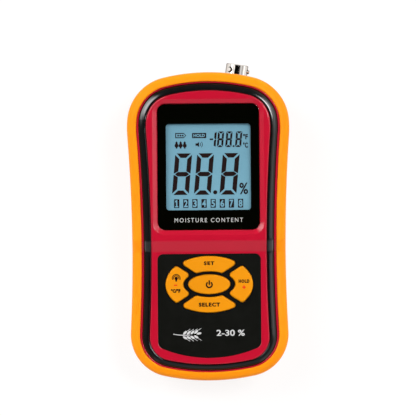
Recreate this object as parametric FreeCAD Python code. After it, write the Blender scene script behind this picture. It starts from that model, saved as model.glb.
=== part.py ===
"""Handheld grain moisture meter, built as separate pieces in millimetres.

The meter lies on its back: +Z is out of the display, +Y points to the end with the probe jack.
While it is being modelled, Y = 0 is the middle of the boot; every piece is moved at export so that
the origin is at the bottom centre of the whole meter's box.
"""
import FreeCAD
import Part
import math
import os

Vector = FreeCAD.Vector
UP = Vector(0, 0, 1)
RIGHT = Vector(1, 0, 0)
AHEAD = Vector(0, 1, 0)

# ---------------------------------------------------------------- driving dimensions
# The boot's outline as tangent arcs from the middle of the top end, clockwise: radius, sweep in
# degrees. A negative radius is a hollow curve. The base arc closes the outline.
CROWN = (91.3, 13.4)
SHOULDER = (22.3, 70.7)
UPPER_CORNER = (43.1, 10.2)
WAIST = (-725.0, 7.37)
LOWER_CORNER = (20.1, 81.0)

# Lines round the front that follow the outline: how far in, and how far the line's top half is then
# moved up and its bottom half down.
LIP_EDGE = (4.4, 0.0, 0.4)           # inner edge of the boot's lip
GROOVE_OUTER = (5.4, 0.35, 0.75)
GROOVE_INNER = (9.08, 0.35, 1.35)    # edge of the red face

THICK_HIGH = 36.0          # front face over the display
THICK_LOW = 33.5           # front face over the keys
RAMP_TOP_Y = -6.6
RAMP_FOOT_Y = -12.1
RAMP_ROUND = 2.5
SPLIT_Z = 23.0             # parting plane of the two case halves
GAP = 0.05                 # running gap between pieces that touch

# Boot
BOOT_WALL = 2.8
BOOT_DROP = 0.5            # top of the lip below the front face
BOOT_LIP_THICK = 2.3
BOOT_BACK_INSET = 6.0
BOOT_BACK_THICK = 2.2
BOOT_FRONT_ROUND = 3.9
BOOT_BACK_ROUND = 3.0
BOOT_LIP_ROUND = 0.6
BOOT_RIM_ROUND = 0.5
GRIP_PITCH, GRIP_COUNT = 3.4, 11
GRIP_DEEP, GRIP_HALF = 0.45, 0.65
GRIP_LOW_Z, GRIP_HIGH_Z = 9.0, 25.0
GRIP_MID_Y = -12.0

# Case
CASE_INSET = BOOT_WALL + GAP
CASE_WALL = 2.0
CASE_INNER = CASE_INSET + CASE_WALL
BACK_Z = 0.6               # back face, inside the boot's resting rim
BACK_PAD_INSET = BOOT_BACK_INSET + 0.15
BACK_WALL = 2.0
BACK_FLOOR_INSET = 8.6     # the floor over the raised back
SHOULDER_DROP = BOOT_DROP + BOOT_LIP_THICK + GAP
GROOVE_CEILING_DROP = 5.2  # inner face under the trim groove
CEILING_DROP = 3.4         # inner face elsewhere
CEILING_INSET = 10.4
GROOVE_DROP = 3.7
RIM_DROP = 1.5             # rim between the boot's lip and the trim ring
FACE_ROUND = 0.5

# Trim ring
RING_DROP = 0.7            # its top below the front face
RING_FALL, RING_SLOPE_WIDTH = 0.72, 2.5          # gentle slope down towards the outside
RING_EDGE_FALL, RING_EDGE_WIDTH = 0.42, 1.4      # steeper facet along its outer edge
RING_INNER_ROUND = 0.2
RING_INNER_GAP = 0.2       # dark line between the ring and the red face

# Display window
WINDOW_Y = 28.1
WINDOW_W, WINDOW_H, WINDOW_R = 48.7, 60.2, 4.0
BEVEL_WIDTH = 2.0
BEVEL_DEPTH = 0.9
LENS_THICK = 1.2
TAPE_THICK = 0.15
LEDGE_DROP = BEVEL_DEPTH + LENS_THICK + 0.2
OPENING_W, OPENING_H, OPENING_R = 43.0, 44.0, 1.5
LEDGE_THICK = 1.1

# Keypad
PAD_W = 48.6
PAD_TOP_Y = -13.0
PAD_BOTTOM_Y = -62.0
PAD_BOTTOM_R = 58.0
PAD_TOP_CORNER = 2.6
PAD_BOTTOM_CORNER = 3.3
PAD_POCKET = 0.7
OVERLAY_THICK = 0.5
KEYS = ("power", "set", "select", "backlight", "hold")
KEY_SIDES = {"set": (0, 1), "select": (0, -1), "backlight": (-1, 0), "hold": (1, 0)}
KEYS_Y = -27.3
KEYS_A, KEYS_B = 20.6, 13.3        # outer ellipse of the four outer keys
RING_A, RING_B = 12.3, 6.1         # their inner ellipse
POWER_A, POWER_B = 9.85, 4.6       # the power key's ellipse
BAND_ANGLE = 33.0                  # diagonal gaps between the outer keys
BAND_HALF = 1.1
KEY_CORNER = 1.3
KEY_PROUD = 0.9
KEY_TOP_ROUND = 0.45
KEY_CLEAR = 0.25
FLANGE_GROW = 0.6
FLANGE_THICK = 0.8
KEY_FLOOR = 2.2                    # case thickness left under the overlay
KEY_TRAVEL = 0.9

# Board and display stack
BOARD_INSET = 7.2
BOARD_Z, BOARD_THICK = 25.0, 1.6
BOARD_TOP = BOARD_Z + BOARD_THICK
MAT_THICK = 0.7
DOME_R, DOME_TOP_R, DOME_WALL = 3.5, 2.4, 0.5
FRAME_W, FRAME_H, FRAME_WALL = 49.6, 51.0, 1.2
GLASS_W, GLASS_H, GLASS_THICK = 46.4, 47.6, 2.0
GLASS_Z = 29.9
POLARISER_THICK = 0.2
BACKLIGHT_W, BACKLIGHT_H, BACKLIGHT_THICK = 45.0, 41.5, 2.7
CHIPS = {"micro_controller": (-8.0, 30.0, 10.0, 8),     # x, y, size, leads a side
         "signal_chip": (12.0, 34.0, 6.0, 5)}
CHIP_Z = BOARD_Z - 0.15
CHIP_THICK = 1.5
BUZZER_AT = (-16.0, 48.0)
CRYSTAL_AT = (-9.0, 18.5)
CAPACITORS_AT = ((8.0, 18.0), (15.0, 18.0))

# Screws and posts
CASE_SCREWS = ((28.4, 50.0), (-28.4, 50.0), (27.0, -53.0), (-27.0, -53.0))
CASE_BOSS_R = 3.2
CASE_SCREW_R = 1.3
CASE_HEAD_R, CASE_HEAD_THICK = 2.5, 1.7
CASE_HEAD_SEAT_Z = 4.6
CASE_SCREW_END_Z = 27.6
BOARD_SCREWS = ((22.0, 57.6), (-22.0, 57.6), (19.0, -57.5), (-19.0, -57.5))
BOARD_POST_R = 2.3
BOARD_SCREW_R = 0.95
BOARD_SCREW_END_Z = 29.6

# Battery bay, in the lower half of the back
BATTERY_W, BATTERY_LONG, BATTERY_THICK = 26.2, 46.4, 17.0
BATTERY_END_Y = -60.3
BAY_HALF_W = 14.3
BAY_LOW_Y, BAY_HIGH_Y = -61.0, -2.0
BAY_TOP_Z = 20.5
BAY_WALL, BAY_ROOF = 2.4, 1.4
DOOR_HALF_W = 15.9
DOOR_LOW_Y, DOOR_HIGH_Y = -62.6, -0.6
DOOR_THICK = 1.55
DOOR_CORNER = 2.0
HINGE_Y, HINGE_Z = -62.7, BACK_Z
HOOK_IN_R, HOOK_OUT_R = 2.1, 3.3
HOOK_X, HOOK_W = 9.0, 4.0
LATCH_HALF_W = 4.0
BARB_LOW_Z, BARB_HIGH_Z = 3.0, 4.1
BARB_REACH = 0.6
LATCH_LEAF, LATCH_TOP_Z = 1.0, 6.2
SCOOP_R, SCOOP_DEEP = 22.0, 1.1
FOAM_THICK = 1.15
BATTERY_Z = BACK_Z + DOOR_THICK + FOAM_THICK
BATTERY_TOP_Y = BATTERY_END_Y + BATTERY_LONG
BATTERY_MID_Z = BATTERY_Z + BATTERY_THICK / 2
TERMINAL_X = 6.35
SNAP_THICK = 4.6
LEAD_UP_Y = -6.2
LEAD_X = 4.0

# Rating label
LABEL_Y = 32.0
LABEL_W, LABEL_H, LABEL_R = 38.0, 22.0, 2.0

# Probe jack, square to the top end's curve
JACK_TILT = 8.5
JACK_Z = 14.0
JACK_PROUD = 5.0
JACK_SHELL_R, JACK_BORE_R = 5.25, 4.3
JACK_RIM_CHAMFER = 0.35
JACK_FLANGE_R, JACK_FLANGE_THICK = 7.0, 1.4
JACK_THREAD_R, JACK_INSERT_R = 4.75, 3.85
JACK_SEAT = -BOOT_WALL             # distances along the jack start at the boot's outer surface
JACK_FACE = -0.6                   # face of the contact insert
JACK_BACK = -13.0
JACK_NUT_FRONT = -CASE_INNER - 1.05
LUG_FROM_TIP, LUG_R, LUG_TIP_R = 2.9, 0.9, 5.95
LUG_SEAT_R, LUG_SEAT_DEEP = 1.4, 0.5               # round recess that each lug stands in
LUG_ANGLES = (-39.0, 81.0, 201.0)  # round the jack, from the front towards the right
CONTACT_CIRCLE, CONTACT_R = 2.0, 0.55


# ---------------------------------------------------------------- curves and solids
def right_of(heading):
    """The direction to the right of a heading, both in the XY plane."""
    return Vector(math.sin(heading), -math.cos(heading), 0)


def outline_chain():
    """The right half of the boot's outline as (centre, signed radius, first heading, last heading)."""
    point, heading, chain = Vector(0, 0, 0), 0.0, []
    for radius, sweep in (CROWN, SHOULDER, UPPER_CORNER, WAIST, LOWER_CORNER):
        centre = point + right_of(heading) * radius
        turned = heading - math.copysign(math.radians(sweep), radius)
        chain.append((centre, radius, heading, turned))
        point, heading = centre - right_of(turned) * radius, turned
    base = -point.x / math.sin(heading)
    chain.append((point + right_of(heading) * base, base, heading, -math.pi))
    return chain


CHAIN = outline_chain()
BOOT_LONG = -(CHAIN[-1][0].y - CHAIN[-1][1])
TOP_Y = BOOT_LONG / 2


def arc_ends(part, inset, shift):
    """Start, middle and end of one arc of the outline, moved in by inset and along by shift."""
    centre, radius, first, last = part
    headings = (first, (first + last) / 2, last)
    return [centre - right_of(h) * (radius - inset) + shift for h in headings]


def mirrored(point):
    return Vector(-point.x, point.y, point.z)


def outline(edge):
    """Closed wire at z = 0: the boot's outline moved in by a distance, or one of the front's lines."""
    inset, rise, fall = edge if isinstance(edge, tuple) else (edge, 0.0, 0.0)
    up, down = Vector(0, TOP_Y + rise, 0), Vector(0, TOP_Y - fall, 0)
    crown, base = CHAIN[0], CHAIN[-1]
    arcs = [arc_ends(part, inset, up) for part in CHAIN[1:3]]
    centre, radius, first, last = CHAIN[3]
    level = -math.pi / 2
    arcs.append(arc_ends((centre, radius, first, level), inset, up))
    if rise + fall > 0:
        arcs.append([arcs[-1][2], arcs[-1][2] - Vector(0, rise + fall, 0)])
    arcs.append(arc_ends((centre, radius, level, last), inset, down))
    arcs.append(arc_ends(CHAIN[4], inset, down))
    top_mid, _, top_end = arc_ends(crown, inset, up)
    base_start, _, base_mid = arc_ends(base, inset, down)
    edges = [Part.Arc(mirrored(top_end), top_mid, top_end).toShape()]
    edges += [curve(points) for points in arcs]
    edges.append(Part.Arc(base_start, base_mid, mirrored(base_start)).toShape())
    edges += [curve([mirrored(p) for p in reversed(points)]) for points in reversed(arcs)]
    return Part.Wire(edges)


def further_in(edge, distance):
    """One of the front's lines, moved in a little more all round."""
    return edge[0] + distance, edge[1], edge[2]


def curve(points):
    """An edge through two points, or an arc through three."""
    if len(points) == 2:
        return Part.LineSegment(*points).toShape()
    return Part.Arc(*points).toShape()


def prism(wire, z0, z1):
    """Solid from a flat closed wire at z = 0, between two heights."""
    face = Part.Face(wire)
    face.translate(UP * z0)
    return face.extrude(UP * (z1 - z0))


def slab(edge, z0, z1):
    return prism(outline(edge), z0, z1)


def rounded_path(points, radius):
    """Edges through the points, each inner corner rounded by a tangent arc of that radius."""
    edges, start = [], points[0]
    for before, corner, after in zip(points, points[1:], points[2:]):
        back, ahead = (before - corner).normalize(), (after - corner).normalize()
        half = back.getAngle(ahead) / 2
        reach = radius / math.tan(half)
        centre = corner + (back + ahead).normalize() * (radius / math.sin(half))
        middle = centre + (corner - centre).normalize() * radius
        edges.append(curve([start, corner + back * reach]))
        edges.append(curve([corner + back * reach, middle, corner + ahead * reach]))
        start = corner + ahead * reach
    edges.append(curve([start, points[-1]]))
    return edges


def above_front(drop):
    """Everything above the stepped front face lowered by drop."""
    far, sky = 90.0, 60.0
    face = [Vector(0, far, THICK_HIGH - drop), Vector(0, RAMP_TOP_Y, THICK_HIGH - drop),
            Vector(0, RAMP_FOOT_Y, THICK_LOW - drop), Vector(0, -far, THICK_LOW - drop)]
    edges = rounded_path(face, RAMP_ROUND)
    box = [face[-1], Vector(0, -far, sky), Vector(0, far, sky), face[0]]
    edges += [curve(pair) for pair in zip(box, box[1:])]
    profile = Part.Face(Part.Wire(edges))
    profile.translate(RIGHT * -far)
    return profile.extrude(RIGHT * 2 * far)


def rounded_rectangle(width, height, radius, x=0.0, y=0.0):
    """Closed wire at z = 0 about (x, y)."""
    a, b = width / 2, height / 2
    corners = [Vector(x + i * a, y + j * b, 0) for i, j in ((0, 1), (1, 1), (1, -1), (-1, -1),
                                                          (-1, 1), (0, 1))]
    return Part.Wire(rounded_path(corners, radius))


def plate(width, height, radius, z0, z1, x=0.0, y=0.0):
    return prism(rounded_rectangle(width, height, radius, x, y), z0, z1)


def box(x0, x1, y0, y1, z0, z1):
    return Part.makeBox(x1 - x0, y1 - y0, z1 - z0, Vector(x0, y0, z0))


def post(x, y, radius, z0, z1):
    return Part.makeCylinder(radius, z1 - z0, Vector(x, y, z0), UP)


def joined(pieces):
    """One solid from overlapping pieces."""
    return pieces[0].multiFuse(pieces[1:]).removeSplitter()


def middle_of(edge):
    return edge.valueAt((edge.FirstParameter + edge.LastParameter) / 2)


def rim_edges(shape, edge_line, z0, z1):
    """Edges that follow the outline or one of the front's lines, between two heights."""
    guide, found = outline(edge_line), []
    for edge in shape.Edges:
        mid = middle_of(edge)
        limits = edge.BoundBox
        if limits.ZMin < z0 or limits.ZMax > z1:
            continue
        if guide.distToShape(Part.Vertex(mid.x, mid.y, 0))[0] < 0.02:
            found.append(edge)
    return found


def level_edges(shape, z, reach=0.01):
    """Edges that lie flat at height z."""
    return [e for e in shape.Edges if abs(e.BoundBox.ZMin - z) < reach
            and abs(e.BoundBox.ZMax - z) < reach]


def upright_edges(shape):
    """Straight edges along Z."""
    return [e for e in shape.Edges if e.BoundBox.XLength < 1e-3 and e.BoundBox.YLength < 1e-3]


def cable(points, bend, radius):
    """Round lead along straight runs joined by arcs."""
    path = Part.Wire(rounded_path(points, bend))
    start = (points[1] - points[0]).normalize()
    ring = Part.Wire(Part.Circle(points[0], start, radius).toShape())
    return path.makePipeShell([ring], True, True)


def group(solids):
    return Part.makeCompound(solids)


# ---------------------------------------------------------------- boot and case
def rubber_boot():
    """Stretch-on boot: side wall, front lip and back rim, with a hole for the jack."""
    low, high = THICK_LOW - BOOT_DROP, THICK_HIGH - BOOT_DROP
    body = slab(0, 0, high).cut(above_front(BOOT_DROP)).removeSplitter()
    body = body.makeFillet(BOOT_FRONT_ROUND, rim_edges(body, 0, low - 0.1, high + 0.1))
    body = body.makeFillet(BOOT_BACK_ROUND, level_edges(body, 0))
    body = body.cut(slab(LIP_EDGE, SPLIT_Z, high + 1))
    body = body.makeFillet(BOOT_LIP_ROUND, rim_edges(body, LIP_EDGE, low - 0.1, high + 0.1))
    inside = slab(BOOT_WALL, BOOT_BACK_THICK, high).cut(above_front(BOOT_DROP + BOOT_LIP_THICK))
    body = body.cut(inside)
    body = body.cut(slab(BOOT_BACK_INSET, -1, SPLIT_Z))
    body = body.makeFillet(BOOT_RIM_ROUND, rim_edges(body, BOOT_BACK_INSET, -0.1, 0.1))
    body = body.cut(jack_cylinder(JACK_FLANGE_R + 0.4, -6.0, 9.0))
    return body.cut(grip_grooves())


def grip_grooves():
    """Shallow upright grooves in both flanks of the boot."""
    bars, far = [], 50.0
    for i in range(GRIP_COUNT):
        y = GRIP_MID_Y + (i - (GRIP_COUNT - 1) / 2) * GRIP_PITCH
        ends = [Part.makeCylinder(GRIP_HALF, 2 * far, Vector(-far, y, z), RIGHT)
                for z in (GRIP_LOW_Z, GRIP_HIGH_Z)]
        bars.append(joined([box(-far, far, y - GRIP_HALF, y + GRIP_HALF, GRIP_LOW_Z, GRIP_HIGH_Z)]
                           + ends))
    return group(bars).cut(slab(GRIP_DEEP, 0, THICK_HIGH))


def front_case():
    """Red upper shell: stepped face, trim groove, window dish, keypad pocket, posts."""
    base = slab(CASE_INSET, SPLIT_Z, THICK_HIGH).cut(above_front(SHOULDER_DROP))
    rim = slab(further_in(LIP_EDGE, GAP), SPLIT_Z, THICK_HIGH).cut(above_front(RIM_DROP))
    rim = rim.cut(slab(GROOVE_OUTER, SPLIT_Z - 1, THICK_HIGH + 1))
    face = slab(GROOVE_INNER, SPLIT_Z, THICK_HIGH).cut(above_front(0)).removeSplitter()
    face = face.makeFillet(FACE_ROUND, rim_edges(face, GROOVE_INNER, THICK_LOW - 0.1,
                                                 THICK_HIGH + 0.1))
    rim_room = slab(CASE_INNER, SPLIT_Z - 1, THICK_HIGH).cut(above_front(GROOVE_CEILING_DROP))
    room = slab(CEILING_INSET, SPLIT_Z - 1, THICK_HIGH).cut(above_front(CEILING_DROP))
    body = base.fuse(face).fuse(rim).cut(rim_room).cut(room).fuse(front_posts())
    body = body.cut(trim_groove()).cut(window_dish()).cut(keypad_pocket())
    return body.removeSplitter().cut(front_pilot_holes())


def trim_groove():
    """Channel round the face that the trim ring sits in."""
    ring = slab(GROOVE_OUTER, SPLIT_Z, THICK_HIGH).cut(slab(GROOVE_INNER, SPLIT_Z - 1, THICK_HIGH + 1))
    return ring.common(above_front(GROOVE_DROP))


def window_dish():
    """Bevel, lens pocket, viewing opening and the display's pocket behind it."""
    face = THICK_HIGH
    grow = 2 * BEVEL_WIDTH
    top = rounded_rectangle(WINDOW_W + grow, WINDOW_H + grow, WINDOW_R + BEVEL_WIDTH, 0, WINDOW_Y)
    foot = rounded_rectangle(WINDOW_W, WINDOW_H, WINDOW_R, 0, WINDOW_Y)
    top.translate(UP * face)
    foot.translate(UP * (face - BEVEL_DEPTH))
    bevel = Part.makeLoft([top, foot], True, True)
    lift = plate(WINDOW_W + grow, WINDOW_H + grow, WINDOW_R + BEVEL_WIDTH, face, face + 1, 0, WINDOW_Y)
    pocket = plate(WINDOW_W, WINDOW_H, WINDOW_R, face - LEDGE_DROP, face - BEVEL_DEPTH + 0.01,
                   0, WINDOW_Y)
    opening = plate(OPENING_W, OPENING_H, OPENING_R, SPLIT_Z, face, 0, WINDOW_Y)
    behind = plate(FRAME_W + 1, FRAME_H + 1, 1.0, SPLIT_Z, face - LEDGE_DROP - LEDGE_THICK,
                   0, WINDOW_Y)
    return joined([bevel, lift, pocket, opening, behind])


def pad_outline(grow=0.0):
    """The keypad overlay's outline: square top, arched bottom."""
    half, top, bottom = PAD_W / 2 + grow, PAD_TOP_Y + grow, PAD_BOTTOM_Y - grow
    radius = PAD_BOTTOM_R + grow
    frame = box(-half, half, bottom, top, 0, 1)
    arch = post(0, bottom + radius, radius, 0, 1).fuse(box(-half, half, bottom + 8, top, 0, 1))
    body = frame.common(arch).removeSplitter()
    low = [e for e in upright_edges(body) if middle_of(e).y < KEYS_Y]
    body = body.makeFillet(PAD_BOTTOM_CORNER + grow, low)
    high = [e for e in upright_edges(body) if middle_of(e).y > top - 0.01]
    body = body.makeFillet(PAD_TOP_CORNER + grow, high)
    return [f for f in body.Faces if f.CenterOfMass.z < 0.01][0].OuterWire


def keypad_pocket():
    """Overlay pocket, the keys' openings and the room for their flanges behind."""
    floor = THICK_LOW - PAD_POCKET
    pieces = [prism(pad_outline(0.1), floor, THICK_HIGH)]
    pieces += [key_prism(name, KEY_CLEAR, SPLIT_Z, THICK_HIGH) for name in KEYS]
    reach = KEYS_A + 3.0
    pieces.append(box(-reach, reach, KEYS_Y - KEYS_B - 2.5, KEYS_Y + KEYS_B + 2.0,
                      SPLIT_Z, floor - KEY_FLOOR))
    return group(pieces)


def front_posts():
    bosses = [post(x, y, CASE_BOSS_R, SPLIT_Z, ceiling(y) + 0.5) for x, y in CASE_SCREWS]
    posts = [post(x, y, BOARD_POST_R, BOARD_TOP, ceiling(y) + 0.5) for x, y in BOARD_SCREWS]
    return group(bosses + posts)


def front_pilot_holes():
    spare = 0.4
    holes = [post(x, y, CASE_SCREW_R + GAP, SPLIT_Z - 1, CASE_SCREW_END_Z + spare)
             for x, y in CASE_SCREWS]
    holes += [post(x, y, BOARD_SCREW_R + GAP, BOARD_TOP - 1, BOARD_SCREW_END_Z + spare)
              for x, y in BOARD_SCREWS]
    return group(holes)


def ceiling(y):
    """Height of the front case's inner face on that side of the ramp."""
    return (THICK_HIGH if y > 0 else THICK_LOW) - CEILING_DROP


def rear_case():
    """Red lower tub: raised back, battery bay, screw bosses, jack hole."""
    body = joined([slab(CASE_INSET, BOOT_BACK_THICK + GAP, SPLIT_Z),
                   slab(BACK_PAD_INSET, BACK_Z, BOOT_BACK_THICK + 1)])
    floor, edge_floor = BACK_Z + BACK_WALL, BOOT_BACK_THICK + BACK_WALL
    body = body.cut(slab(CASE_INNER, edge_floor, SPLIT_Z + 1))
    body = body.cut(slab(BACK_FLOOR_INSET, floor, edge_floor + 0.1))
    body = joined([body, bay_block()] + [post(x, y, CASE_BOSS_R, floor - 1, SPLIT_Z)
                                         for x, y in CASE_SCREWS])
    body = body.cut(bay_space())
    for x, y in CASE_SCREWS:
        body = body.cut(post(x, y, CASE_SCREW_R + 0.2, 0, SPLIT_Z + 1))
        body = body.cut(post(x, y, CASE_HEAD_R + 0.4, 0, CASE_HEAD_SEAT_Z))
    body = body.cut(jack_cylinder(JACK_THREAD_R + 0.1, -8.0, 2.0))
    body = body.cut(plate(LABEL_W + 0.2, LABEL_H + 0.2, LABEL_R + 0.1, BACK_Z - 1, BACK_Z + 0.25,
                          0, LABEL_Y))
    body = body.cut(finger_scoop())
    return body


def finger_scoop():
    """Hollow beside the door's latch for a fingertip."""
    dish = Part.makeSphere(SCOOP_R, Vector(0, DOOR_HIGH_Y + 4.0, BACK_Z + SCOOP_DEEP - SCOOP_R))
    return dish.common(box(-8, 8, DOOR_HIGH_Y - 0.5, DOOR_HIGH_Y + 12, -1, 3))


def bay_block():
    """Walls and roof around the battery."""
    return box(-BAY_HALF_W - BAY_WALL, BAY_HALF_W + BAY_WALL, BAY_LOW_Y - BAY_WALL,
               BAY_HIGH_Y + BAY_WALL, BACK_Z + 1.6, BAY_TOP_Z + BAY_ROOF)


def bay_space():
    """Battery room, door rebate, hinge slots, latch notch and the leads' way out."""
    rebate = plate(2 * DOOR_HALF_W + 0.2, DOOR_HIGH_Y - DOOR_LOW_Y + 0.2, DOOR_CORNER + 0.1,
                   BACK_Z - 1, BACK_Z + DOOR_THICK + GAP, 0, (DOOR_LOW_Y + DOOR_HIGH_Y) / 2)
    room = box(-BAY_HALF_W, BAY_HALF_W, BAY_LOW_Y, BAY_HIGH_Y, 0, BAY_TOP_Z)
    notch = box(-LATCH_HALF_W - 0.4, LATCH_HALF_W + 0.4, BAY_HIGH_Y - 0.1,
                BAY_HIGH_Y + BARB_REACH + 0.4, BARB_LOW_Z - 0.1, BARB_HIGH_Z + 0.2)
    slots = [hook(x, HOOK_W + 0.5, HOOK_IN_R - 0.08, HOOK_OUT_R + 0.12, 8, 166)
             for x in (-HOOK_X, HOOK_X)]
    ways = [post(x, LEAD_UP_Y, 1.1, BAY_TOP_Z - 1, BAY_TOP_Z + BAY_ROOF + 1)
            for x in (-LEAD_X, LEAD_X)]
    return group([rebate, room, notch] + slots + ways)


def hook(x, width, inner, outer, first, last):
    """Part of a ring about the door's hinge line, from one angle to another above the +Y side."""
    start = Vector(x - width / 2, HINGE_Y, HINGE_Z)
    ring = Part.makeCylinder(outer, width, start, RIGHT, last - first)
    ring = ring.cut(Part.makeCylinder(inner, width + 2, start - RIGHT, RIGHT))
    spin = first - angle_of(ring, start) + (last - first) / 2
    ring.rotate(start, RIGHT, spin)
    return ring


def angle_of(ring, start):
    """Angle of a ring part's centre of mass above the +Y side, in degrees."""
    centre = ring.Solids[0].CenterOfMass - start
    return math.degrees(math.atan2(centre.z, centre.y))


# ---------------------------------------------------------------- front trim
def trim_ring():
    """Gloss black ring in the groove. Its face slopes down to the outside in two facets."""
    outer_line, inner_line = further_in(GROOVE_OUTER, GAP), further_in(GROOVE_INNER, -RING_INNER_GAP)
    body = slab(outer_line, SPLIT_Z, THICK_HIGH)
    body = body.common(above_front(GROOVE_DROP - GAP)).cut(above_front(RING_DROP))
    body = body.cut(slab(inner_line, SPLIT_Z - 1, THICK_HIGH + 1)).removeSplitter()
    low, high = THICK_LOW - RING_DROP - 0.1, THICK_HIGH - RING_DROP + 0.1
    body = body.makeChamfer(RING_FALL, RING_SLOPE_WIDTH, rim_edges(body, outer_line, low, high))
    body = body.makeChamfer(RING_EDGE_FALL, RING_EDGE_WIDTH,
                            rim_edges(body, outer_line, low - RING_FALL, high - RING_FALL))
    return body.makeFillet(RING_INNER_ROUND, rim_edges(body, inner_line, low, high))


def display_lens():
    top = THICK_HIGH - BEVEL_DEPTH
    body = plate(WINDOW_W - 0.2, WINDOW_H - 0.2, WINDOW_R - 0.1, top - LENS_THICK, top, 0, WINDOW_Y)
    return body.makeFillet(0.25, level_edges(body, top))


def lens_tape():
    seat = THICK_HIGH - LEDGE_DROP + 0.02
    body = plate(WINDOW_W - 0.8, WINDOW_H - 0.8, WINDOW_R - 0.4, seat, seat + TAPE_THICK, 0, WINDOW_Y)
    return body.cut(plate(OPENING_W + 0.4, OPENING_H + 0.4, OPENING_R, seat - 1, seat + 1, 0, WINDOW_Y))


def keypad_overlay():
    floor = THICK_LOW - PAD_POCKET + 0.01
    body = prism(pad_outline(), floor, floor + OVERLAY_THICK)
    for name in KEYS:
        body = body.cut(key_prism(name, KEY_CLEAR, floor - 1, floor + 2))
    return body


# ---------------------------------------------------------------- keys
def ellipse_prism(a, b, z0, z1):
    oval = Part.Wire(Part.Ellipse(Vector(0, KEYS_Y, 0), a, b).toShape())
    return prism(oval, z0, z1)


def key_prism(name, grow, z0, z1):
    """A key's plan shape, grown all round, between two heights."""
    if name == "power":
        return ellipse_prism(POWER_A + grow, POWER_B + grow, z0, z1)
    side_x, side_y = KEY_SIDES[name]
    ring = ellipse_prism(KEYS_A + grow, KEYS_B + grow, z0, z1)
    ring = ring.cut(ellipse_prism(RING_A - grow, RING_B - grow, z0 - 1, z1 + 1))
    body = ring.common(key_sector(side_x, side_y, BAND_HALF - grow, z0, z1))
    return body.makeFillet(KEY_CORNER + grow / 2, upright_edges(body))


def key_sector(side_x, side_y, band, z0, z1):
    """The wedge on one side of the two diagonal gaps."""
    reach, slope = 40.0, math.radians(BAND_ANGLE)
    if side_x:
        tip = Vector(side_x * band / math.sin(slope), KEYS_Y, 0)
        ends = [tip + Vector(side_x * math.cos(slope), j * math.sin(slope), 0) * reach
                for j in (-1, 1)]
    else:
        tip = Vector(0, KEYS_Y + side_y * band / math.cos(slope), 0)
        ends = [tip + Vector(i * math.cos(slope), side_y * math.sin(slope), 0) * reach
                for i in (-1, 1)]
    return prism(Part.makePolygon([tip, ends[0], ends[1], tip]), z0, z1)


def key_centre(name):
    """Middle of a key, where its dome stands."""
    if name == "power":
        return Vector(0, KEYS_Y, 0)
    side_x, side_y = KEY_SIDES[name]
    return Vector(side_x * (KEYS_A + RING_A) / 2, KEYS_Y + side_y * (KEYS_B + RING_B) / 2, 0)


def flange_top():
    return THICK_LOW - PAD_POCKET - KEY_FLOOR - GAP


def key_cap(name):
    """Key with a crowned edge and a retaining flange under the case."""
    top, shelf = THICK_LOW + KEY_PROUD, flange_top()
    cap = key_prism(name, 0, shelf - FLANGE_THICK, top)
    cap = cap.makeFillet(KEY_TOP_ROUND, level_edges(cap, top))
    return joined([cap, key_prism(name, FLANGE_GROW, shelf - FLANGE_THICK, shelf)])


def key_dome(name):
    """Silicone dome with its contact puck, standing on the board under a key."""
    at, top = key_centre(name), flange_top() - FLANGE_THICK - GAP
    foot = BOARD_TOP + MAT_THICK
    high = top - foot
    outer = joined([post(at.x, at.y, DOME_R, BOARD_TOP, foot),
                    Part.makeCone(DOME_R, DOME_TOP_R, high, at + UP * foot, UP)])
    roof = 1.0
    inner = joined([post(at.x, at.y, DOME_R - DOME_WALL, BOARD_TOP - 1, foot),
                    Part.makeCone(DOME_R - DOME_WALL, DOME_TOP_R - DOME_WALL, high - roof,
                                  at + UP * foot, UP)])
    puck = post(at.x, at.y, 1.4, BOARD_TOP + KEY_TRAVEL + 0.05, top - roof / 2)
    return joined([outer.cut(inner), puck])


def key_mat():
    """Silicone web that the five domes are moulded into."""
    body = plate(46.0, 31.0, 2.0, BOARD_TOP + 0.01, BOARD_TOP + MAT_THICK, 0, KEYS_Y)
    for name in KEYS:
        at = key_centre(name)
        body = body.cut(post(at.x, at.y, DOME_R + GAP, BOARD_TOP - 1, BOARD_TOP + 2))
    return body


# ---------------------------------------------------------------- display stack
def stack_plate(width, height, z0, z1):
    return plate(width, height, 0.6, z0, z1, 0, WINDOW_Y)


def lcd_frame():
    top = THICK_HIGH - LEDGE_DROP - LEDGE_THICK - 0.1
    body = stack_plate(FRAME_W, FRAME_H, BOARD_TOP + GAP, top)
    inner_w, inner_h = FRAME_W - 2 * FRAME_WALL, FRAME_H - 2 * FRAME_WALL
    return body.cut(stack_plate(inner_w, inner_h, BOARD_TOP - 1, top + 1))


def lcd_glass():
    return stack_plate(GLASS_W, GLASS_H, GLASS_Z, GLASS_Z + GLASS_THICK)


def lcd_polariser():
    z = GLASS_Z + GLASS_THICK
    return stack_plate(GLASS_W - 2.0, GLASS_H - 2.0, z, z + POLARISER_THICK)


def lcd_backlight():
    z = BOARD_TOP + 0.3
    return stack_plate(BACKLIGHT_W, BACKLIGHT_H, z, z + BACKLIGHT_THICK)


def zebra_strips():
    reach, wide = BACKLIGHT_H / 2 + 1.5, 1.6
    return group([box(-21, 21, y - wide / 2, y + wide / 2, BOARD_TOP, GLASS_Z)
                  for y in (WINDOW_Y - reach, WINDOW_Y + reach)])


# ---------------------------------------------------------------- board
def main_board():
    body = slab(BOARD_INSET, BOARD_Z, BOARD_TOP)
    for x, y in CASE_SCREWS:
        body = body.cut(post(x, y, CASE_BOSS_R + 0.4, BOARD_Z - 1, BOARD_TOP + 1))
    for x, y in BOARD_SCREWS:
        body = body.cut(post(x, y, BOARD_SCREW_R + 0.2, BOARD_Z - 1, BOARD_TOP + 1))
    return body.removeSplitter()


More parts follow.
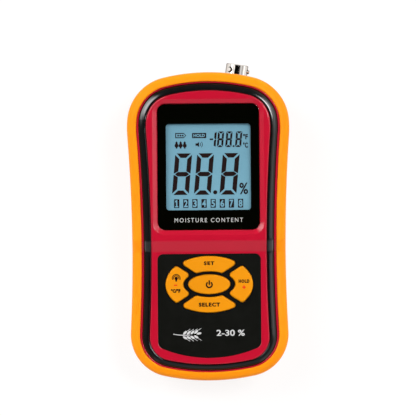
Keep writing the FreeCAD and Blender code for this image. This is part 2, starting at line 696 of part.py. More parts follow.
def chip(name):
    x, y, size, _ = CHIPS[name]
    body = box(x - size / 2, x + size / 2, y - size / 2, y + size / 2, CHIP_Z - CHIP_THICK, CHIP_Z)
    return body.makeChamfer(0.25, level_edges(body, CHIP_Z - CHIP_THICK))


def chip_leads():
    """Flat leads on all four sides of both chips."""
    leads = []
    for x, y, size, count in CHIPS.values():
        pitch = size * 0.86 / (count - 1)
        for i in range(count):
            along = (i - (count - 1) / 2) * pitch
            for side in (-1, 1):
                near, far = sorted((side * (size / 2 + 0.02), side * (size / 2 + 1.0)))
                low, high = along - 0.14, along + 0.14
                leads.append(box(x + near, x + far, y + low, y + high, BOARD_Z - 0.3, BOARD_Z - 0.02))
                leads.append(box(x + low, x + high, y + near, y + far, BOARD_Z - 0.3, BOARD_Z - 0.02))
    return group(leads)


def buzzer():
    body = post(*BUZZER_AT, 6.0, BOARD_Z - 5.6, BOARD_Z - 0.1)
    return body.cut(post(*BUZZER_AT, 1.2, BOARD_Z - 6, BOARD_Z - 3.5))


def crystal_can():
    return plate(10.2, 3.8, 1.85, BOARD_Z - 3.5, BOARD_Z - 0.1, *CRYSTAL_AT)


def capacitors():
    return group([post(x, y, 2.5, BOARD_Z - 6.0, BOARD_Z - 0.1) for x, y in CAPACITORS_AT])


def board_screws():
    """Pan-head screws from behind the board."""
    made = []
    for x, y in BOARD_SCREWS:
        head = post(x, y, 1.9, BOARD_Z - 1.3, BOARD_Z - 0.02)
        head = head.makeFillet(0.5, level_edges(head, BOARD_Z - 1.3))
        shank = post(x, y, BOARD_SCREW_R, BOARD_Z - 0.5, BOARD_SCREW_END_Z)
        made.append(joined([head, shank]).cut(cross_recess(x, y, BOARD_Z - 1.3, 0.7, 1.1)))
    return group(made)


def cross_recess(x, y, z, deep, reach):
    """Cross-shaped driver recess that opens downwards at height z."""
    thin = 0.28
    return group([box(x - reach, x + reach, y - thin, y + thin, z - 0.2, z + deep),
                  box(x - thin, x + thin, y - reach, y + reach, z - 0.2, z + deep)])


def case_screws():
    """Self-tapping screws from the back, through the tub into the front case."""
    low = CASE_HEAD_SEAT_Z - CASE_HEAD_THICK
    made = []
    for x, y in CASE_SCREWS:
        head = post(x, y, CASE_HEAD_R, low, CASE_HEAD_SEAT_Z - 0.02)
        head = head.makeFillet(0.6, level_edges(head, low))
        shank = post(x, y, CASE_SCREW_R, CASE_HEAD_SEAT_Z - 0.5, CASE_SCREW_END_Z)
        made.append(joined([head, shank]).cut(cross_recess(x, y, low, 1.0, 1.45)))
    return group(made)


# ---------------------------------------------------------------- battery and door
def battery():
    """Nine-volt block, lying on its side face."""
    body = box(-BATTERY_W / 2, BATTERY_W / 2, BATTERY_END_Y, BATTERY_END_Y + BATTERY_LONG,
               BATTERY_Z, BATTERY_Z + BATTERY_THICK)
    long_edges = [e for e in body.Edges if e.BoundBox.YLength > BATTERY_LONG - 1]
    body = body.makeFillet(2.2, long_edges)
    return body.makeFillet(0.6, [e for e in body.Edges if e.BoundBox.YLength < 0.01])


def battery_terminals():
    """Snap studs: a small round one and a larger open one."""
    small = Part.makeCylinder(2.8, 2.1, Vector(TERMINAL_X, BATTERY_TOP_Y, BATTERY_MID_Z), AHEAD)
    large = Part.makeCylinder(3.7, 2.1, Vector(-TERMINAL_X, BATTERY_TOP_Y, BATTERY_MID_Z), AHEAD)
    cup = Part.makeCylinder(2.9, 2.0, Vector(-TERMINAL_X, BATTERY_TOP_Y + 0.6, BATTERY_MID_Z), AHEAD)
    return group([small, large.cut(cup)])


def battery_snap():
    """Moulded snap cap over the battery's studs."""
    start = BATTERY_TOP_Y + 0.1
    body = box(-12.6, 12.6, start, start + SNAP_THICK, BATTERY_MID_Z - 6.2, BATTERY_MID_Z + 6.2)
    body = body.makeFillet(2.0, [e for e in body.Edges if e.BoundBox.YLength > SNAP_THICK - 0.1])
    for x in (-TERMINAL_X, TERMINAL_X):
        body = body.cut(Part.makeCylinder(3.9, 2.3, Vector(x, start - 0.1, BATTERY_MID_Z), AHEAD))
    return body


def battery_leads():
    """Two leads from the snap cap up through the bay's roof to the board."""
    start, bend, radius = BATTERY_TOP_Y + SNAP_THICK + 0.1, 2.4, 0.7
    return group([cable([Vector(x, start, BATTERY_MID_Z), Vector(x, LEAD_UP_Y, BATTERY_MID_Z),
                         Vector(x, LEAD_UP_Y, BOARD_Z - 0.05)], bend, radius)
                  for x in (-LEAD_X, LEAD_X)])


def battery_door():
    """Back door with curved hinge hooks at its lower end and ribs by its latch."""
    mid, long = (DOOR_LOW_Y + DOOR_HIGH_Y) / 2, DOOR_HIGH_Y - DOOR_LOW_Y
    body = plate(2 * DOOR_HALF_W, long, DOOR_CORNER, BACK_Z, BACK_Z + DOOR_THICK, 0, mid)
    hooks = [hook(x, HOOK_W, HOOK_IN_R, HOOK_OUT_R, 25, 150) for x in (-HOOK_X, HOOK_X)]
    ribs = [plate(14.0 - i * 2.6, 0.9, 0.44, BACK_Z - 0.3, BACK_Z + 0.5, 0, DOOR_HIGH_Y - 4.0 - 2.2 * i)
            for i in range(4)]
    rails = [box(x - 0.6, x + 0.6, DOOR_LOW_Y + 6, DOOR_HIGH_Y - 8, BACK_Z + 1,
                 BACK_Z + DOOR_THICK + 0.7) for x in (-12.2, 12.2)]
    keep = box(-20, 20, DOOR_LOW_Y - 10, DOOR_HIGH_Y + 1, BACK_Z - 1, 10)
    return joined([body] + [h.common(keep) for h in hooks] + ribs + rails)


def door_latch():
    """Springy finger with a barb that catches in the bay's end wall."""
    half, front = LATCH_HALF_W, BAY_HIGH_Y - 0.6
    root, point = front - 0.1, BAY_HIGH_Y + BARB_REACH
    leaf = box(-half, half, front - LATCH_LEAF, front, BACK_Z + DOOR_THICK, LATCH_TOP_Z)
    barb = box(-half, half, root, point, BARB_LOW_Z, BARB_HIGH_Z)
    corners = [Vector(-half, root, BARB_HIGH_Z), Vector(-half, point, BARB_HIGH_Z),
               Vector(-half, root, BARB_HIGH_Z + point - root)]
    lead_in = Part.Face(Part.makePolygon(corners + corners[:1])).extrude(RIGHT * 2 * half)
    lead_in = lead_in.common(box(-half, half, root, BAY_HIGH_Y - 0.05, BARB_HIGH_Z, LATCH_TOP_Z))
    return joined([leaf, barb, lead_in])


def battery_foam():
    z = BACK_Z + DOOR_THICK
    return plate(20.0, 30.0, 1.0, z + 0.01, z + FOAM_THICK, 0, -37.0)


def rating_label():
    return plate(LABEL_W, LABEL_H, LABEL_R, BACK_Z + GAP, BACK_Z + 0.23, 0, LABEL_Y)


# ---------------------------------------------------------------- probe jack
def jack_frame():
    """Start of the jack's axis at the boot's surface, its direction, and its right-hand side."""
    tilt = math.radians(JACK_TILT)
    out, side = Vector(math.sin(tilt), math.cos(tilt), 0), Vector(math.cos(tilt), -math.sin(tilt), 0)
    centre = Vector(0, TOP_Y - CROWN[0], JACK_Z)
    return centre + out * CROWN[0], out, side


def jack_cylinder(radius, first, last):
    start, out, _ = jack_frame()
    return Part.makeCylinder(radius, last - first, start + out * first, out)


def round_the_jack(angle):
    """Direction out from the jack's axis at an angle from the front towards the right."""
    _, _, side = jack_frame()
    turn = math.radians(angle)
    return UP * math.cos(turn) + side * math.sin(turn)


def jack_shell():
    """Plated shell: mouth with three bayonet lugs, flange and threaded body."""
    start, out, _ = jack_frame()
    barrel = jack_cylinder(JACK_SHELL_R, JACK_SEAT, JACK_PROUD)
    tip = start + out * JACK_PROUD
    rim = [e for e in barrel.Edges if (middle_of(e) - tip).dot(out) > -0.01 and e.Closed]
    barrel = barrel.makeChamfer(JACK_RIM_CHAMFER, rim)
    flange = jack_cylinder(JACK_FLANGE_R, JACK_SEAT, JACK_SEAT + JACK_FLANGE_THICK)
    flange = flange.makeChamfer(0.3, [e for e in flange.Edges if e.Closed])
    lugs, lugs_at = [], start + out * (JACK_PROUD - LUG_FROM_TIP)
    root, seat = JACK_BORE_R + 0.2, JACK_SHELL_R - LUG_SEAT_DEEP
    for angle in LUG_ANGLES:
        way = round_the_jack(angle)
        barrel = barrel.cut(Part.makeCylinder(LUG_SEAT_R, 2.0, lugs_at + way * seat, way))
        lugs.append(Part.makeCylinder(LUG_R, LUG_TIP_R - root, lugs_at + way * root, way))
    thread = jack_cylinder(JACK_THREAD_R, JACK_BACK, JACK_SEAT + 0.5)
    body = joined([barrel, flange, thread] + lugs)
    body = body.cut(jack_cylinder(JACK_BORE_R, JACK_FACE, JACK_PROUD + 1))
    body = body.cut(jack_cylinder(JACK_INSERT_R + 0.02, JACK_BACK - 1, JACK_FACE + 0.5))
    return body.cut(thread_rings())


def thread_rings():
    """Fine rings that stand for the thread behind the flange."""
    pitch, rings, first = 0.8, [], JACK_SEAT - 6.0
    for i in range(5):
        at = first - i * pitch
        ring = jack_cylinder(JACK_THREAD_R + 1, at, at + pitch / 2)
        rings.append(ring.cut(jack_cylinder(JACK_THREAD_R - 0.25, at - 1, at + 2)))
    return group(rings)


def contact_points():
    """Centres of the four contacts, as offsets from the jack's axis."""
    return [round_the_jack(45 + 90 * i) * CONTACT_CIRCLE for i in range(4)]


def jack_insert():
    body = jack_cylinder(JACK_INSERT_R, JACK_BACK, JACK_FACE)
    for offset in contact_points():
        hole = jack_cylinder(CONTACT_R + 0.02, JACK_BACK - 1, JACK_FACE + 1)
        hole.translate(offset)
        body = body.cut(hole)
    return body


def jack_contacts():
    """Socket contacts with solder tails."""
    made = []
    for offset in contact_points():
        pin = joined([jack_cylinder(CONTACT_R, JACK_BACK, JACK_FACE - 0.1),
                      jack_cylinder(0.4, JACK_BACK - 2.2, JACK_BACK + 0.5)])
        pin = pin.cut(jack_cylinder(0.35, JACK_FACE - 6.0, JACK_FACE + 1))
        pin.translate(offset)
        made.append(pin)
    return group(made)


def jack_washer():
    front = JACK_NUT_FRONT + 0.6
    ring = jack_cylinder(6.8, JACK_NUT_FRONT + 0.02, front)
    return ring.cut(jack_cylinder(JACK_THREAD_R + 0.1, -20, 2))


def jack_nut():
    """Hexagonal nut on the inner side of the case wall."""
    start, out, side = jack_frame()
    thick, across = 2.4, 12.6
    corner = across / 2 / math.cos(math.radians(30))
    base = start + out * (JACK_NUT_FRONT - thick)
    points = [base + round_the_jack(60 * i) * corner for i in range(7)]
    body = Part.Face(Part.makePolygon(points)).extrude(out * thick)
    return body.cut(jack_cylinder(JACK_THREAD_R + GAP, -20, 2))


def jack_wires():
    """Leads from the contacts' tails to the underside of the board."""
    start, out, _ = jack_frame()
    made = []
    for i, offset in enumerate(contact_points()):
        tail = start + out * (JACK_BACK - 2.3) + offset
        turn_y = tail.y - 5.0 - 1.4 * i
        made.append(cable([tail, Vector(tail.x, turn_y, tail.z),
                           Vector(tail.x, turn_y, BOARD_Z - 0.05)], 2.2, 0.45))
    return group(made)


# ---------------------------------------------------------------- export
def all_parts():
    parts = {
        "rubber_boot": rubber_boot(), "front_case": front_case(), "rear_case": rear_case(),
        "trim_ring": trim_ring(), "display_lens": display_lens(), "lens_tape": lens_tape(),
        "keypad_overlay": keypad_overlay(), "key_mat": key_mat(),
        "lcd_frame": lcd_frame(), "lcd_glass": lcd_glass(), "lcd_polariser": lcd_polariser(),
        "lcd_backlight": lcd_backlight(), "zebra_strips": zebra_strips(),
        "main_board": main_board(), "micro_controller": chip("micro_controller"),
        "signal_chip": chip("signal_chip"), "chip_leads": chip_leads(), "buzzer": buzzer(),
        "crystal_can": crystal_can(), "capacitors": capacitors(),
        "board_screws": board_screws(), "case_screws": case_screws(),
        "battery": battery(), "battery_terminals": battery_terminals(),
        "battery_snap": battery_snap(), "battery_leads": battery_leads(),
        "battery_door": battery_door(), "door_latch": door_latch(),
        "battery_foam": battery_foam(), "rating_label": rating_label(),
        "jack_shell": jack_shell(), "jack_insert": jack_insert(),
        "jack_contacts": jack_contacts(), "jack_nut": jack_nut(), "jack_washer": jack_washer(),
        "jack_wires": jack_wires(),
    }
    for name in KEYS:
        parts[name + "_key"] = key_cap(name)
        parts[name + "_dome"] = key_dome(name)
    return parts


def origin_shift():
    """Moves Y = 0 from the middle of the boot to the middle of the whole length, jack included."""
    start, out, _ = jack_frame()
    tip = start + out * JACK_PROUD
    end = tip.y + (JACK_SHELL_R - JACK_RIM_CHAMFER) * out.x
    return Vector(0, -(end - TOP_Y) / 2, 0)


def main():
    os.makedirs("parts", exist_ok=True)
    shift = origin_shift()
    start, out, _ = jack_frame()
    print("boot length %.3f, shift %.4f" % (BOOT_LONG, shift.y))
    print("jack start", start + shift, "direction", out)
    for name, shape in sorted(all_parts().items()):
        shape = shape.copy()
        shape.translate(shift)
        if not shape.isValid() or not shape.Solids:
            print("PROBLEM", name, shape.isValid(), len(shape.Solids))
        print("%-18s solids %2d volume %9.1f" % (name, len(shape.Solids), shape.Volume))
        shape.exportStep("parts/%s.step" % name)


main()
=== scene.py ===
"""Looks for the handheld grain moisture meter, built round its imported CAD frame. Metres, +Z up."""
import math

import bmesh
import bpy
from mathutils import Matrix, Vector


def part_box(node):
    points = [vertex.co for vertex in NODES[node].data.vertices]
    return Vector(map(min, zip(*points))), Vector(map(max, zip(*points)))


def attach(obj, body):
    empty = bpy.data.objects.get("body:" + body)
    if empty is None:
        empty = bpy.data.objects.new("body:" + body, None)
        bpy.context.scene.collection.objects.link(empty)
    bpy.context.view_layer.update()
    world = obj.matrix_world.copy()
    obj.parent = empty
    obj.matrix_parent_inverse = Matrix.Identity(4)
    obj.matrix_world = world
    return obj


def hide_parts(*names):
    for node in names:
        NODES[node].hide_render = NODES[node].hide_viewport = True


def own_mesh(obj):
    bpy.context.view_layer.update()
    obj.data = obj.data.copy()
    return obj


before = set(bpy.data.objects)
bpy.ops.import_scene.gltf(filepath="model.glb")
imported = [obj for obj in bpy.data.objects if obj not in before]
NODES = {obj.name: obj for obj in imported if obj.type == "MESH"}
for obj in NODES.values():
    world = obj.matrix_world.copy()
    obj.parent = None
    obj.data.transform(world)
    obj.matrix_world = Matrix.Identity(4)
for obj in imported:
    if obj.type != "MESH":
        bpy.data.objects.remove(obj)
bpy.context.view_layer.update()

MM = 0.001
PRINT_THICK = 0.02 * MM
PRINT_LIFT = 0.01 * MM
KEYS = ("power", "set", "select", "backlight", "hold")
CREASE_ANGLE = math.radians(32)             # edges sharper than this stay sharp

# Linear colours
ORANGE = (0.95, 0.283, 0.005)
KEY_ORANGE = (0.745, 0.263, 0.002)
RED = (0.478, 0.0050, 0.0250)
GLOSS_BLACK = (0.003, 0.003, 0.003)
FILM_BLACK = (0.0028, 0.0031, 0.0020)
LENS_INK = (0.0010, 0.0011, 0.0004)
SEGMENT_INK = (0.016, 0.0075, 0.007)
LEGEND_INK = (0.007, 0.002, 0.004)
LEGEND_RED = (0.72, 0.025, 0.005)
PRINT_WHITE = (0.58, 0.58, 0.58)
NICKEL = (0.80, 0.75, 0.70)
LCD_BLUE = (0.144, 0.303, 0.390)
# Painted light in part: the glow stands for the display's backlight and also brightens the blue field to
# make up for the shade of its recess under the lens.
LCD_GLOW_BACKLIT_AND_PAINTED = 0.20                        # how strongly the display's blue field glows
LENS_INDEX = 1.47

# The display, in millimetres about the lens's middle
VIEW_W, VIEW_H, VIEW_R = 39.9, 40.7, 1.4    # clear window in the lens's mask
MASK_INSET, MASK_R = 0.5, 3.7               # the mask's outer edge
DIGIT_LEAN = 0.09
BIG_DIGIT = (7.95, 19.6, 2.1, 0.62)         # width, height, stroke and gap
BIG_DIGITS_X, BIG_DIGITS_Y = (-12.45, -2.1, 10.0), -3.35
BIG_POINT = (3.15, -12.0, 0.98)             # centre and radius
SMALL_DIGIT = (2.95, 7.4, 0.95, 0.22)
SMALL_ONE = (7.4, 1.0, 0.2)                 # height, stroke and gap
SMALL_DIGITS_X, SMALL_ONE_X, SMALL_DIGITS_Y = (5.85, 9.8, 14.4), 3.3, 13.0
SMALL_POINT = (11.95, 9.75, 0.46)
MINUS = (0.7, 12.65, 2.35, 13.4)            # two opposite corners
BATTERY_AT, SPEAKER_AT = (-12.95, 14.9), (-4.1, 10.6)
HOLD_AT = (-4.25, 14.85)
HOLD_BOX = (6.7, 2.5, 0.25)                 # width, height and corner
KERNEL_X, KERNEL_Y, KERNEL_PITCH, KERNEL_WIDTH = -14.95, 10.5, 1.92, 1.12
BOX = (2.5, 4.15, 0.12)                     # width, height and corner
BOXES, FIRST_BOX_X, BOX_PITCH, BOX_Y = 8, -15.1, 4.31, -17.25
CAPTION_Y = -25.1

# Letters: height, width, weight and spacing
BOX_LETTERS = (3.4, 1.8, 0.035)
HOLD_LETTERS = (1.5, 5.4, 0.035)
CAPTION_LETTERS = (2.0, 32.3, -0.002, 1.38)
PERCENT_LETTERS = (5.5, 4.1, 0.02)
DEGREE_LETTERS = (2.6, 2.3, 0.045)
PERCENT_AT, FAHRENHEIT_AT, CELSIUS_AT = (16.6, -10.3), (17.6, 14.2), (17.6, 10.2)

# The keypad, in millimetres about the power key's middle
SET_AT, SET_LETTERS = (0, 9.94), (1.8, 5.0, 0.052, 1.25)
SELECT_AT, SELECT_LETTERS = (0, -9.6), (1.9, 10.1, 0.055, 1.2)
KEY_HOLD_AT, KEY_HOLD_LETTERS = (16.4, 1.35), (1.65, 5.1, 0.07, 1.25)
UNIT_AT, UNIT_LETTERS = (-15.9, -3.0), (1.8, 4.5, 0.078, 1.1)
PLUS_AT, PLUS = (16.4, -1.5), (0.8, 0.3)    # reach and half width of its arms
TAKE_AT, TAKE = (-15.9, -0.35), (-0.8, -0.27, 0.8, 0.27)
LAMP_AT, POWER_AT = (-15.6, 2.9), (0, 0.0)

# Prints near the keypad film's lower end, in millimetres
PRINT_ROW = 11.7                            # their middle's distance from that end
EAR_X, RANGE_X, RANGE_LETTERS = -10.7, 9.9, (2.9, 13.3, 0.018)
STEM_WIDTH, BEARD_WIDTH, EAR_PITCH = 0.34, 0.2, 1.75

# The rating label and the battery, in millimetres
LABEL_ROWS_Y, LABEL_ROW_THICK = (5.6, 2.4, -0.8, -4.0), 0.35
LABEL_ROW_START, LABEL_ROW_ENDS = -15.5, (3.5, -2.5)    # long and short rows take turns
LABEL_INSETS, LABEL_CORNERS = (2.4, 3.0), (1.2, 0.95)   # outer and inner edge of its border
LABEL_CELL_AT, LABEL_VOLTS_AT = (11.0, -4.8), (11.0, 3.4)
POLARITY_X, POLARITY_DOWN, VOLTAGE_UP = 6.3, 8.0, 10.0  # sideways, then from the battery's ends

# The foam pad: corner radius, then each ring's inset in millimetres and its share of the height
PAD_CORNER = 1.0
PAD_RINGS = ((0.0, 0.0), (0.3, 0.4), (0.1, 0.68), (0.35, 0.82), (1.0, 0.90), (3.0, 0.97), (6.5, 1.0))
PAD_CREASE = math.radians(70)

# Camera
VIEW_WIDTH = 196.2 * MM
CAMERA_LENS, SENSOR = 460.0, 36.0
CLIP_START, CLIP_END = 0.05, 50.0
IMAGE_CENTRE = (-0.33 * MM, 8.70 * MM)      # from the middle of the boot
CAMERA_ROLL = math.radians(-0.45)

# Studio. Soft lights of the tent: azimuth anticlockwise from +X, elevation, full and zero radius,
# all in degrees, then radiance.
SOFT_LIGHTS = ((144, 58, 3, 15, 7.2), (150, 35, 4, 24, 5.0), (35, 67, 3, 12, 19.0),
               (22, 46, 4, 24, 1.4), (270, 50, 5, 30, 0.2), (270, 42, 4, 12, 0.24),
               (234, 33, 3, 9, 0.5), (306, 33, 3, 9, 0.5))
TENT_RADIANCE, TENT_FADE = 0.10, (55, 68)           # elevations where it starts and ends to fade
HORIZON_RADIANCE, HORIZON_FADE = 1.00, (12, 24)
RIGHT_RADIANCE, RIGHT_FADE = 0.48, (46, 58)
RIGHT_EDGE = (0.25, 0.6)                            # X of a direction where that wall starts and is full
FLOOR_GLOW, FLOOR_TONE = 0.86, 0.14
FLOOR_REACH, FLOOR_DROP = 4.0, 0.2 * MM


# ---------------------------------------------------------------- node trees
class Tree:
    """A material's or world's node tree, with short calls to add nodes and link them."""

    def __init__(self, owner):
        owner.use_nodes = True
        self.tree = owner.node_tree
        self.tree.nodes.clear()

    def node(self, kind, settings=None, **inputs):
        made = self.tree.nodes.new("ShaderNode" + kind)
        for key, value in (settings or {}).items():
            setattr(made, key, value)
        for key, value in inputs.items():
            self.put(made.inputs[key.replace("_", " ")], value)
        return made

    def put(self, socket, value):
        if isinstance(value, bpy.types.NodeSocket):
            self.tree.links.new(value, socket)
        else:
            socket.default_value = value

    def math(self, operation, a, b=0.0):
        made = self.node("Math", {"operation": operation})
        self.put(made.inputs[0], a)
        self.put(made.inputs[1], b)
        return made.outputs[0]

    def spread(self, value, low, high, to_low=0.0, to_high=1.0):
        """Maps a range of values to another, clamped."""
        made = self.node("MapRange", Value=value, From_Min=low, From_Max=high,
                         To_Min=to_low, To_Max=to_high)
        return made.outputs["Result"]

    def mix(self, factor, a, b, blend="MIX"):
        """Mixes two colours."""
        made = self.node("Mix", {"data_type": "RGBA", "blend_type": blend})
        self.put(made.inputs[0], factor)
        self.put(made.inputs[6], a)
        self.put(made.inputs[7], b)
        return made.outputs[2]

    def place(self):
        return self.node("TexCoord").outputs["Object"]

    def noise(self, size, detail=3.0, vector=None, roughness=0.5):
        """Noise whose features are about size metres across."""
        made = self.node("TexNoise", Scale=1.0 / size, Detail=detail, Roughness=roughness)
        self.put(made.inputs["Vector"], vector or self.place())
        return made.outputs["Fac"]

    def bump(self, height, depth, normal=None):
        made = self.node("Bump", Strength=1.0, Distance=depth, Height=height)
        if normal is not None:
            self.put(made.inputs["Normal"], normal)
        return made.outputs["Normal"]

    def surface(self, shader):
        out = self.node("OutputMaterial")
        self.put(out.inputs["Surface"], shader)


def rgba(colour):
    """A colour with full alpha."""
    return (*colour, 1.0)


def shaded(colour, gain):
    """A colour made lighter or darker."""
    return rgba([min(1.0, c * gain) for c in colour])


MADE = {}


def moulded(name, colour, rough=0.4, grain=0.15, depth=0.006, mottle=0.05, coat=0.0,
            specular=0.5, soften=0.0, scuffs=0.0, edge=0.0):
    """Moulded plastic or rubber: mottled colour, fine grain, uneven gloss and faint scuffs.
    Grain and edge, the radius that rounds its edges, are in millimetres."""
    if name in MADE:
        return MADE[name]
    material = bpy.data.materials.new(name)
    t = Tree(material)
    broad = t.noise(14 * MM, 4.0)
    fine = t.noise(grain * MM, 2.0)
    smear = t.noise(3.5 * MM, 6.0, roughness=0.65)
    base = t.mix(t.spread(broad, 0.3, 0.7), shaded(colour, 1 - mottle), shaded(colour, 1 + mottle))
    base = t.mix(t.spread(fine, 0.35, 0.75, 0.0, mottle), base, shaded(colour, 0.6))
    if scuffs:
        streak = t.noise(0.9 * MM, 5.0, vector=stretched(t, (1.0, 6.0, 1.0)), roughness=0.7)
        worn = t.spread(streak, 0.62, 0.8, 0.0, scuffs)
        base = t.mix(worn, base, shaded(colour, 1.5))
    gloss = t.spread(smear, 0.3, 0.7, rough * 0.88, rough * 1.14)
    worn_edge = t.node("Bevel", {"samples": 8}, Radius=edge * MM).outputs[0] if edge else None
    normal = t.bump(fine, depth * MM, t.bump(smear, depth * MM * 1.5, worn_edge))
    made = t.node("BsdfPrincipled", Base_Color=base, Roughness=gloss, Normal=normal,
                  Coat_Weight=coat, Coat_Roughness=0.05, Specular_IOR_Level=specular,
                  Subsurface_Weight=soften,
                  Subsurface_Radius=(1.2 * MM, 0.5 * MM, 0.2 * MM), Subsurface_Scale=1.0)
    t.surface(made.outputs[0])
    MADE[name] = material
    return material


def stretched(t, scale):
    """Object coordinates multiplied along each axis."""
    return t.node("Mapping", Vector=t.place(), Scale=scale).outputs[0]


def metal(name, colour, rough=0.2, brush=(1.0, 1.0, 1.0), depth=0.002, tarnish=0.15, rim=1.0,
          crevice_shade=0.0):
    """Plated or turned metal with directional tool marks, a little tarnish, and painted shade that
    darkens its corners.
    """
    if name in MADE:
        return MADE[name]
    material = bpy.data.materials.new(name)
    t = Tree(material)
    marks = t.noise(0.25 * MM, 2.0, vector=stretched(t, brush))
    haze = t.noise(2.5 * MM, 5.0)
    base = t.mix(t.spread(haze, 0.35, 0.75, 0.0, tarnish), rgba(colour), shaded(colour, 0.55))
    # Painted shade: ambient occlusion darkens the base colour in corners and round the lugs, where shade
    # falls.
    if crevice_shade:
        open_sky = t.node("AmbientOcclusion", {"samples": 8, "only_local": True},
                          Distance=crevice_shade * MM).outputs["AO"]
        base = t.mix(t.spread(open_sky, 0.45, 0.9, 1.0, 0.0), base, shaded(colour, 0.03))
    gloss = t.spread(haze, 0.3, 0.7, rough * 0.8, rough * 1.3)
    made = t.node("BsdfPrincipled", Base_Color=base, Metallic=1.0, Roughness=gloss,
                  Normal=t.bump(marks, depth * MM), Specular_Tint=rgba([rim] * 3))
    t.surface(made.outputs[0])
    MADE[name] = material
    return material


def clear_lens():
    """Clear window: passes light straight on, and mirrors by Fresnel on its polished outer face."""
    material = bpy.data.materials.new("lens_acrylic")
    t = Tree(material)
    haze = t.noise(6 * MM, 5.0)
    gloss = t.spread(haze, 0.3, 0.8, 0.02, 0.05)
    clear = t.node("BsdfTransparent", Color=(0.975, 0.985, 0.985, 1.0))
    mirror = t.node("BsdfGlossy", Roughness=gloss, Color=(1.0, 1.0, 1.0, 1.0))
    upright = t.node("SeparateXYZ", Vector=t.node("TexCoord").outputs["Normal"]).outputs["Z"]
    polished = t.spread(upright, 0.975, 0.998)
    outside = t.math("SUBTRACT", 1.0, t.node("NewGeometry").outputs["Backfacing"])
    share = t.math("MULTIPLY", t.node("Fresnel", IOR=LENS_INDEX).outputs[0], polished)
    made = t.node("MixShader", Fac=t.math("MULTIPLY", share, outside))
    t.put(made.inputs[1], clear.outputs[0])
    t.put(made.inputs[2], mirror.outputs[0])
    t.surface(made.outputs[0])
    return material


def display_film(name, backlight):
    """The display's blue field, a little paler towards the foot, with a fine sparkle. It glows, partly
    as its backlight and partly as painted light making up for the shade of its recess.
    """
    if name in MADE:
        return MADE[name]
    material = bpy.data.materials.new(name)
    t = Tree(material)
    low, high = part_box("lcd_polariser")
    up = t.node("SeparateXYZ", Vector=t.place()).outputs["Y"]
    base = t.mix(t.spread(up, low.y, high.y), shaded(LCD_BLUE, 1.05), shaded(LCD_BLUE, 0.96))
    sparkle = t.noise(0.12 * MM, 1.0)
    base = t.mix(t.spread(sparkle, 0.4, 0.8, 0.0, 0.2), base, shaded(LCD_BLUE, 1.3))
    base = t.mix(t.spread(t.noise(5 * MM), 0.35, 0.75, 0.0, 0.2), base, shaded(LCD_BLUE, 0.85))
    # Emission: partly the backlight, partly painted light filling the shade of the recess.
    made = t.node("BsdfPrincipled", Base_Color=base, Roughness=0.6, Specular_IOR_Level=0.1,
                  Emission_Color=base, Emission_Strength=backlight,
                  Normal=t.bump(sparkle, 0.002 * MM))
    t.surface(made.outputs[0])
    MADE[name] = material
    return material


def circuit_board():
    """Green solder mask over a grid of faint copper runs and bare tinned pads."""
    material = bpy.data.materials.new("board_green")
    t = Tree(material)
    runs = t.node("TexBrick", {"offset": 0.5}, Vector=t.place(), Scale=1.0 / (6 * MM),
                  Mortar_Size=0.05, Brick_Width=1.1, Row_Height=0.28)
    pads = t.node("TexVoronoi", Vector=t.place(), Scale=1.0 / (2.6 * MM), Randomness=0.35)
    pad = t.spread(pads.outputs["Distance"], 0.12, 0.14, 1.0, 0.0)
    green = t.mix(runs.outputs["Fac"], (0.010, 0.13, 0.055, 1.0), (0.02, 0.22, 0.10, 1.0))
    base = t.mix(pad, green, (0.62, 0.60, 0.55, 1.0))
    gloss = t.spread(t.noise(3 * MM), 0.3, 0.7, 0.22, 0.4)
    made = t.node("BsdfPrincipled", Base_Color=base, Roughness=gloss, Metallic=pad,
                  Normal=t.bump(runs.outputs["Fac"], 0.02 * MM))
    t.surface(made.outputs[0])
    return material


def battery_jacket():
    """Lacquered steel jacket: pale body with a blue lower band and a thin rule between."""
    material = bpy.data.materials.new("battery_jacket")
    t = Tree(material)
    low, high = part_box("battery")
    along = t.node("SeparateXYZ", Vector=t.place()).outputs["Y"]
    band = low.y + (high.y - low.y) * 0.42
    rule = 1.2 * MM
    blue = t.mix(t.noise(10 * MM), (0.02, 0.07, 0.28, 1.0), (0.03, 0.10, 0.36, 1.0))
    pale = t.mix(t.noise(8 * MM), (0.60, 0.62, 0.65, 1.0), (0.72, 0.74, 0.76, 1.0))
    base = t.mix(t.math("GREATER_THAN", along, band), blue, (0.85, 0.86, 0.88, 1.0))
    base = t.mix(t.math("GREATER_THAN", along, band + rule), base, pale)
    gloss = t.spread(t.noise(2 * MM, 5.0), 0.3, 0.7, 0.22, 0.34)
    made = t.node("BsdfPrincipled", Base_Color=base, Roughness=gloss, Metallic=0.45,
                  Normal=t.bump(t.noise(1.5 * MM, 4.0), 0.008 * MM))
    t.surface(made.outputs[0])
    return material


def foam():
    """Closed-cell foam with small open pores, their dark centres painted shade."""
    material = bpy.data.materials.new("foam_grey")
    t = Tree(material)
    cells = t.node("TexVoronoi", Vector=t.place(), Scale=1.0 / (0.5 * MM)).outputs["Distance"]
    # Painted shade: darker towards each pore's middle, where the bump makes a pit.
    base = t.mix(t.spread(cells, 0.0, 0.6), (0.02, 0.02, 0.022, 1.0), (0.10, 0.10, 0.105, 1.0))
    made = t.node("BsdfPrincipled", Base_Color=base, Roughness=0.85,
                  Normal=t.bump(cells, 0.08 * MM))
    t.surface(made.outputs[0])
    return material


def two_leads(name, parting, left, right):
    """Wire insulation whose colour changes from one lead to the next along X."""
    material = bpy.data.materials.new(name)
    t = Tree(material)
    across = t.node("SeparateXYZ", Vector=t.place()).outputs["X"]
    base = t.mix(t.math("GREATER_THAN", across, parting), left, right)
    base = t.mix(t.spread(t.noise(1.5 * MM), 0.3, 0.7, 0.0, 0.25), base, (0.01, 0.01, 0.01, 1.0))
    made = t.node("BsdfPrincipled", Base_Color=base, Roughness=0.38, Coat_Weight=0.2,
                  Normal=t.bump(t.noise(0.4 * MM), 0.01 * MM))
    t.surface(made.outputs[0])
    return material


